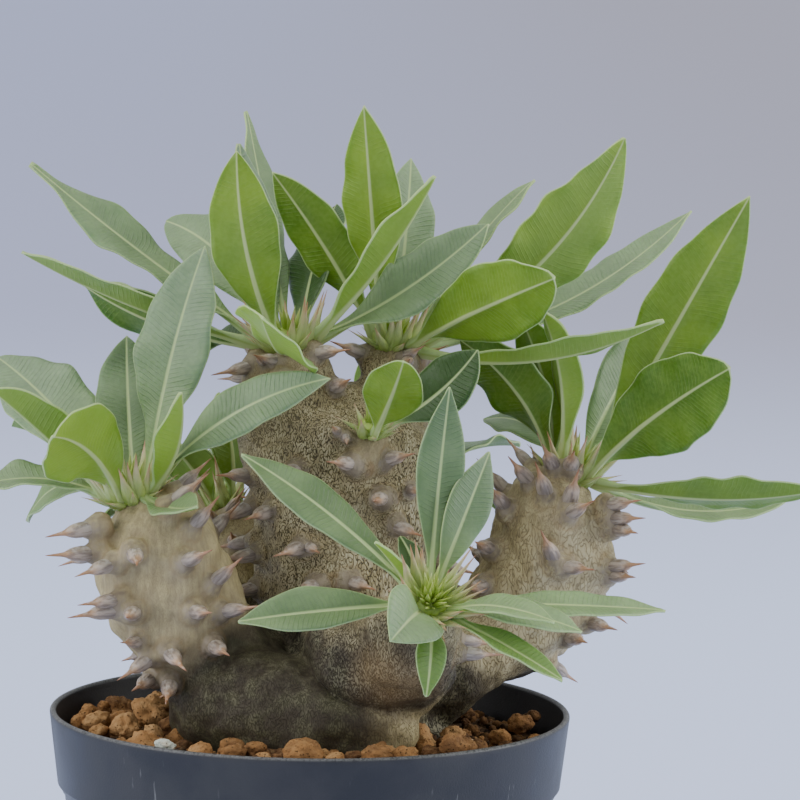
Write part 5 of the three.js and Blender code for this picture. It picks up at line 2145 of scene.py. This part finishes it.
@dataclass
class Soil:
    """The potting mix: a rough bed, rounded clay granules over it, and crumbs between them."""

    plant: list[Stem]
    top_radius: float = 50.15
    shape_count: int = 9
    columns: int = 120
    rings: int = 40
    pebble_spot: tuple[float, float] = (-28.0, -38.0)
    pebble_shape: Row = (1.9, 1.6, 1.4)
    waves: tuple[Row, ...] = ((13.0, 0.5, 41), (4.0, 0.28, 42), (1.8, 0.16, 43))

    def ground(self, x: Array, y: Array) -> Array:
        """Finds the height of the bed: highest round the plant, hollow at the back right.

        Args:
            x: The spots' x, in millimetres.
            y: Their y.

        Returns:
            One height per spot.
        """
        reach = np.hypot(x, y)
        spots = np.column_stack([x, y, np.zeros_like(x)])
        rise = SOIL_RISE * (1 - reach / self.top_radius)
        hollow = 2.4 * smooth_step(y + 0.35 * x, -10, 18)
        rough = sum(height * Lumps(length, seed).at(spots) for length, height, seed in self.waves)
        heaped = 1.5 * smooth_step(-y, 22, 36)
        return SOIL_LEVEL - 0.9 + rise + heaped - hollow + rough

    def level(self, x: float, y: float) -> float:
        """Returns the height of the bed at one spot."""
        return self.ground(np.array([x]), np.array([y]))[0]

    def bed(self) -> Object:
        """Models the bed that fills the pot.

        Returns:
            The bed.
        """
        wall = [
            (0.01, WALL + SOIL_GAP),
            (BASE_RADIUS - WALL - FLOOR_FILLET - SOIL_GAP, WALL + SOIL_GAP),
            (BASE_RADIUS - WALL - SOIL_GAP, WALL + FLOOR_FILLET + SOIL_GAP),
            (NECK_RADIUS - WALL - SOIL_GAP, STEP_LOW - 0.3 - SOIL_GAP),
            (BAND_RADIUS - WALL - SOIL_GAP, BAND_LOW - SOIL_GAP),
        ]
        tops = [(self.top_radius * (1 - share), SOIL_LEVEL) for share in np.linspace(0, 0.9995, self.rings)]
        rings = turned(wall + tops, self.columns)
        upper = rings[len(wall) :]
        upper[..., 2] = self.ground(upper[..., 0].ravel(), upper[..., 1].ravel()).reshape(upper.shape[:2])
        piece = extruded_tube("soil_bed", self.columns, len(rings))
        shape_rings(piece, rings)
        points = points_of(piece) / MM
        mark(piece, "grain_tone", 0.11 + 0.09 * np.clip(Lumps(3.0, 44).at(points), -1, 1.5))
        return piece

    @staticmethod
    def lump(kind: Scatter, seed: int) -> Object:
        """Models one rounded, pitted grain about one millimetre in radius, to copy.

        Args:
            kind: The kind of grain.
            seed: The seed of its form.

        Returns:
            The grain.
        """
        deselect_all()
        bpy.ops.mesh.primitive_ico_sphere_add(subdivisions=kind.fineness, radius=1, location=(0, 0, 0))
        grain = bpy.context.object
        draw = default_rng(seed)
        ball, roughness = points_of(grain), kind.roughness
        swell = 1 + roughness * Lumps(2.2, seed).at(ball)
        swell += 0.45 * roughness * Lumps(0.8, seed + 50).at(ball)
        swell += 0.3 * roughness * Lumps(0.33, seed + 70).at(ball)
        set_points(grain, ball * swell[:, None] * draw.uniform(0.82, 1.1, 3))
        smooth_shade(grain)
        return grain

    @staticmethod
    def spin(draw: Generator) -> Array:
        """Returns a turn about a drawn axis."""
        axis = Vector(draw.normal(size=3)).normalized()
        return np.array(Matrix.Rotation(draw.uniform(0, TAU), 3, axis))

    @staticmethod
    def grain(blank: Object, center: Row, spin: Array, size: Array, tone: float) -> Object:
        """Copies a grain to its place.

        Args:
            blank: The grain to copy.
            center: Where its middle goes.
            spin: How it is turned.
            size: Its radius along each axis.
            tone: How light it is, from 0 to 1.

        Returns:
            The copy.
        """
        piece = copy_of(blank, "grain")
        set_points(piece, np.array(center) + (points_of(piece) / MM) @ spin * size)
        mark_all(piece, "grain_tone", tone)
        return piece

    def scattered(self, blanks: list[Object], kind: Scatter) -> list[Object]:
        """Copies grains over the bed, clear of the plant.

        Args:
            blanks: The grains to copy.
            kind: How many places are tried, and the grains' sizes and tones.

        Returns:
            The copies.
        """
        draw = default_rng(kind.seed)
        grains = []
        for number in range(kind.tries):
            size = kind.smallest + (kind.largest - kind.smallest) * draw.random() ** 1.7
            reach = (self.top_radius - size - 0.3) * math.sqrt((number + 0.5) / kind.tries)
            angle = number * GOLDEN_ANGLE + draw.uniform(-0.25, 0.25)
            x, y = reach * math.cos(angle), reach * math.sin(angle)
            center = np.array([x, y, self.level(x, y) + draw.uniform(0.15, 0.5) * size])
            spin = self.spin(draw)
            tone = float(np.clip(kind.tone + kind.tone_spread * draw.normal(), 0, 0.82))
            hollow = smooth_step(np.array([y + 0.35 * x]), -12, 10)[0]
            if size > LARGE_GRAIN and draw.random() < 0.9 * hollow:
                size, tone = 0.5 * size, 0.75 * tone
            if any(stem.holds(center) for stem in self.plant) or self.crowded(center, size):
                continue
            squash = np.array([1, 1, draw.uniform(0.78, 1.0)])
            grains.append(self.grain(blanks[number % len(blanks)], center, spin, size * squash, tone))
        return grains

    @staticmethod
    def crowded(center: Array, size: float) -> bool:
        """Tells whether a large grain would stand inside a placed granule."""
        placed = np.array(GRANULES)
        away = np.linalg.norm(placed[:, :3] - center, axis=1)
        return size > LARGE_GRAIN and bool(np.any(away < 0.9 * (placed[:, 3] + size)))

    def placed(self, blanks: list[Object]) -> list[Object]:
        """Copies the granules that lie in plain sight, and the pale pebble, to their own places.

        Args:
            blanks: The grains to copy.

        Returns:
            The copies.
        """
        draw = default_rng(PLACED_SEED)
        grains = []
        for number, (x, y, z, size, tone) in enumerate(GRANULES):
            spin = self.spin(draw)
            squash = np.array([1, 1, draw.uniform(0.74, 0.92)])
            grains.append(self.grain(blanks[number % len(blanks)], (x, y, z), spin, size * squash, tone))
        x, y = self.pebble_spot
        middle = (x, y, self.level(x, y) + 2.6)
        grains.append(self.grain(blanks[0], middle, np.eye(3), np.array(self.pebble_shape), 1.0))
        return grains

    def build(self, effects: Effects) -> list[Object]:
        """Models the soil.

        Args:
            effects: The shared shader groups.

        Returns:
            The bed and the granules.
        """
        bed = self.bed()
        crumbs, lumps = (
            [self.lump(kind, kind.shape_seed + i) for i in range(self.shape_count)] for kind in (CRUMBS, CLAY)
        )
        bed = join([bed, *self.scattered(crumbs, CRUMBS)], "soil_bed")
        wear(bed, GrainFinish("soil", 0.8, 0.35).material(effects))
        smooth_shade(bed)
        granules = join([*self.scattered(lumps, CLAY), *self.placed(lumps)], "granules")
        wear(granules, GrainFinish("clay_granule", 0.62, 0.42).material(effects))
        for blank in (*crumbs, *lumps):
            scrap(blank)
        return [bed, granules]


# The granules in plain sight: x, y, z of the middle, radius and tone.
GRANULES = [
    (-21.1, -43, 89.2, 2.6, 0.6), (-8.7, -45, 88.3, 1.7, 0.64), (-1.2, -43.8, 88.6, 3.7, 0.5),
    (5.2, -44.8, 88.5, 1.8, 0.6), (12.8, -43.6, 89.2, 2.7, 0.44), (18.4, -42.6, 89.2, 2.5, 0.58),
    (-14.9, -41.5, 88.6, 2.9, 0.44), (-5.1, -40, 87.7, 2.2, 0.26), (9, -41, 87.9, 2, 0.28),
    (24, -38.5, 88.5, 2.2, 0.3), (28.6, -37, 89.5, 3.8, 0.42), (33.1, -34.5, 88.7, 2, 0.3),
    (-45.8, -3.3, 87.4, 2.2, 0.57), (-42.5, -6.9, 88, 2.5, 0.65), (-36.5, -15, 88.3, 3.1, 0.67),
    (-31, -2.2, 89, 4.4, 0.69), (-31.3, 12.4, 88.2, 3.2, 0.65), (-42, 10.7, 87.6, 1.8, 0.41),
    (-31, -20.5, 88.1, 2.3, 0.71), (-44.8, 3.4, 87.7, 2, 0.51), (-42.2, -14.9, 87.6, 1.8, 0.65),
    (-27.3, -10.4, 88.2, 2.4, 0.39), (42.3, -2.8, 88, 2.3, 0.4), (45.2, 7.1, 87.6, 1.9, 0.32),
    (37.7, -18.4, 88.2, 2.1, 0.46),
]


@dataclass
class Studio:
    """The plain floor, the soft lights and the camera."""

    eye: tuple[float, float, float] = (0.0, -0.982935, 0.273951)
    yaw: float = 0.9974
    pitch: float = 7.0186
    roll: float = 0.95
    lens: float = 222.75
    floor_size: float = 14.0
    target: Row = (0, 0, 0.13)
    panel_size: float = 1.2
    left_power: float = 14
    right_power: float = 21
    sun_from: Row = (-0.35, -0.15, 1.0)
    sun_spread: float = 80
    sun_strength: float = 1.5
    sky: Colour = (0.90, 0.93, 1.0)
    sky_strength: float = 0.7

    def build(self) -> None:
        """Sets up the floor, the lights, the world and the camera."""
        deselect_all()
        bpy.ops.mesh.primitive_grid_add(
            x_subdivisions=8, y_subdivisions=8, size=self.floor_size, location=(0, 0, 0)
        )
        floor = bpy.context.object
        floor.name = "floor"
        floor.data.materials.append(FloorFinish().material())
        self.sun()
        self.panel("left_panel", (-1.5, -0.5, 0.7), self.left_power)
        self.panel("right_panel", (1.6, -0.1, 0.7), self.right_power)
        self.world()
        self.camera()

    def panel(self, name: str, place: Row, power: float) -> None:
        """Adds a large soft light that points at the plant.

        Args:
            name: The light's name.
            place: Where it hangs, in metres.
            power: Its power in watts.
        """
        deselect_all()
        aim = (Vector(self.target) - Vector(place)).to_track_quat("-Z", "Y").to_euler()
        bpy.ops.object.light_add(type="AREA", location=place, rotation=aim)
        lamp = bpy.context.object
        lamp.name = name
        lamp.data.size = self.panel_size
        lamp.data.energy = power

    def sun(self) -> None:
        """Adds the broad even light from above."""
        deselect_all()
        aim = Vector(self.sun_from).to_track_quat("Z", "Y").to_euler()
        bpy.ops.object.light_add(type="SUN", location=(0, 0, 2), rotation=aim)
        lamp = bpy.context.object
        lamp.name = "ceiling"
        lamp.data.angle = math.radians(self.sun_spread)
        lamp.data.energy = self.sun_strength

    def world(self) -> None:
        """Sets the even light that comes from all round."""
        surroundings = bpy.data.worlds.new("studio")
        surroundings.use_nodes = True
        background = surroundings.node_tree.nodes["Background"]
        background.inputs["Color"].default_value = (*self.sky, 1)
        background.inputs["Strength"].default_value = self.sky_strength
        bpy.context.scene.world = surroundings

    def camera(self) -> None:
        """Places the camera at the photograph's viewing angle."""
        yaw, pitch, roll = (math.radians(angle) for angle in (self.yaw, self.pitch, self.roll))
        ahead = Vector((math.sin(yaw) * math.cos(pitch), math.cos(yaw) * math.cos(pitch), -math.sin(pitch)))
        level = ahead.cross(Vector((0, 0, 1))).normalized()
        above = level.cross(ahead)
        right = level * math.cos(roll) + above * math.sin(roll)
        top = above * math.cos(roll) - level * math.sin(roll)
        deselect_all()
        bpy.ops.object.camera_add(location=self.eye)
        camera = bpy.context.object
        camera.matrix_world = Matrix(
            [[right[i], top[i], -ahead[i], self.eye[i]] for i in range(3)] + [[0, 0, 0, 1]]
        )
        camera.data.lens = self.lens
        camera.data.sensor_width = 36
        camera.data.clip_end = 60
        bpy.context.scene.camera = camera


def attach(pieces: list[Object], node: str) -> None:
    """Fixes finished pieces to the body in place of a node.

    Args:
        pieces: The finished pieces.
        node: The node that they replace.
    """
    for piece in pieces:
        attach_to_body(piece, "root")
        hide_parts(node)
        log.info("%s in place of %s: %d faces", piece.name, node, len(piece.data.polygons))


def main() -> None:
    """Builds and dresses the whole potted plant."""
    logging.basicConfig(level=logging.INFO, format="%(message)s")
    effects = Effects()
    attach([Pot().build(effects)], "pot")
    attach(Soil(STEMS).build(effects), "soil")
    attach(Caudex(STEMS, BARK_LOOKS, CROWN_PAIRS, FOLDS, SPINES, SCARS).build(effects), "caudex")
    blank = LeafBlank()
    blank.build(effects)
    spike = Spike("young_spine", YOUNG_PROFILE, 8, 0.6)
    spike.blank.data.materials.append(YOUNG_SPINE.material(effects))
    bract = Spike("bract", BRACT_PROFILE, 8, 0.7)
    bract.blank.data.materials.append(GREEN_TIP.material(effects))
    for number, tuft in enumerate(TUFTS):
        attach([tuft.build(blank, spike, bract, 100 * (number + 1))], tuft.name)
    for spare in (blank.blank, spike.blank, bract.blank):
        scrap(spare)
    Studio().build()


if __name__ == "__main__":
    main()
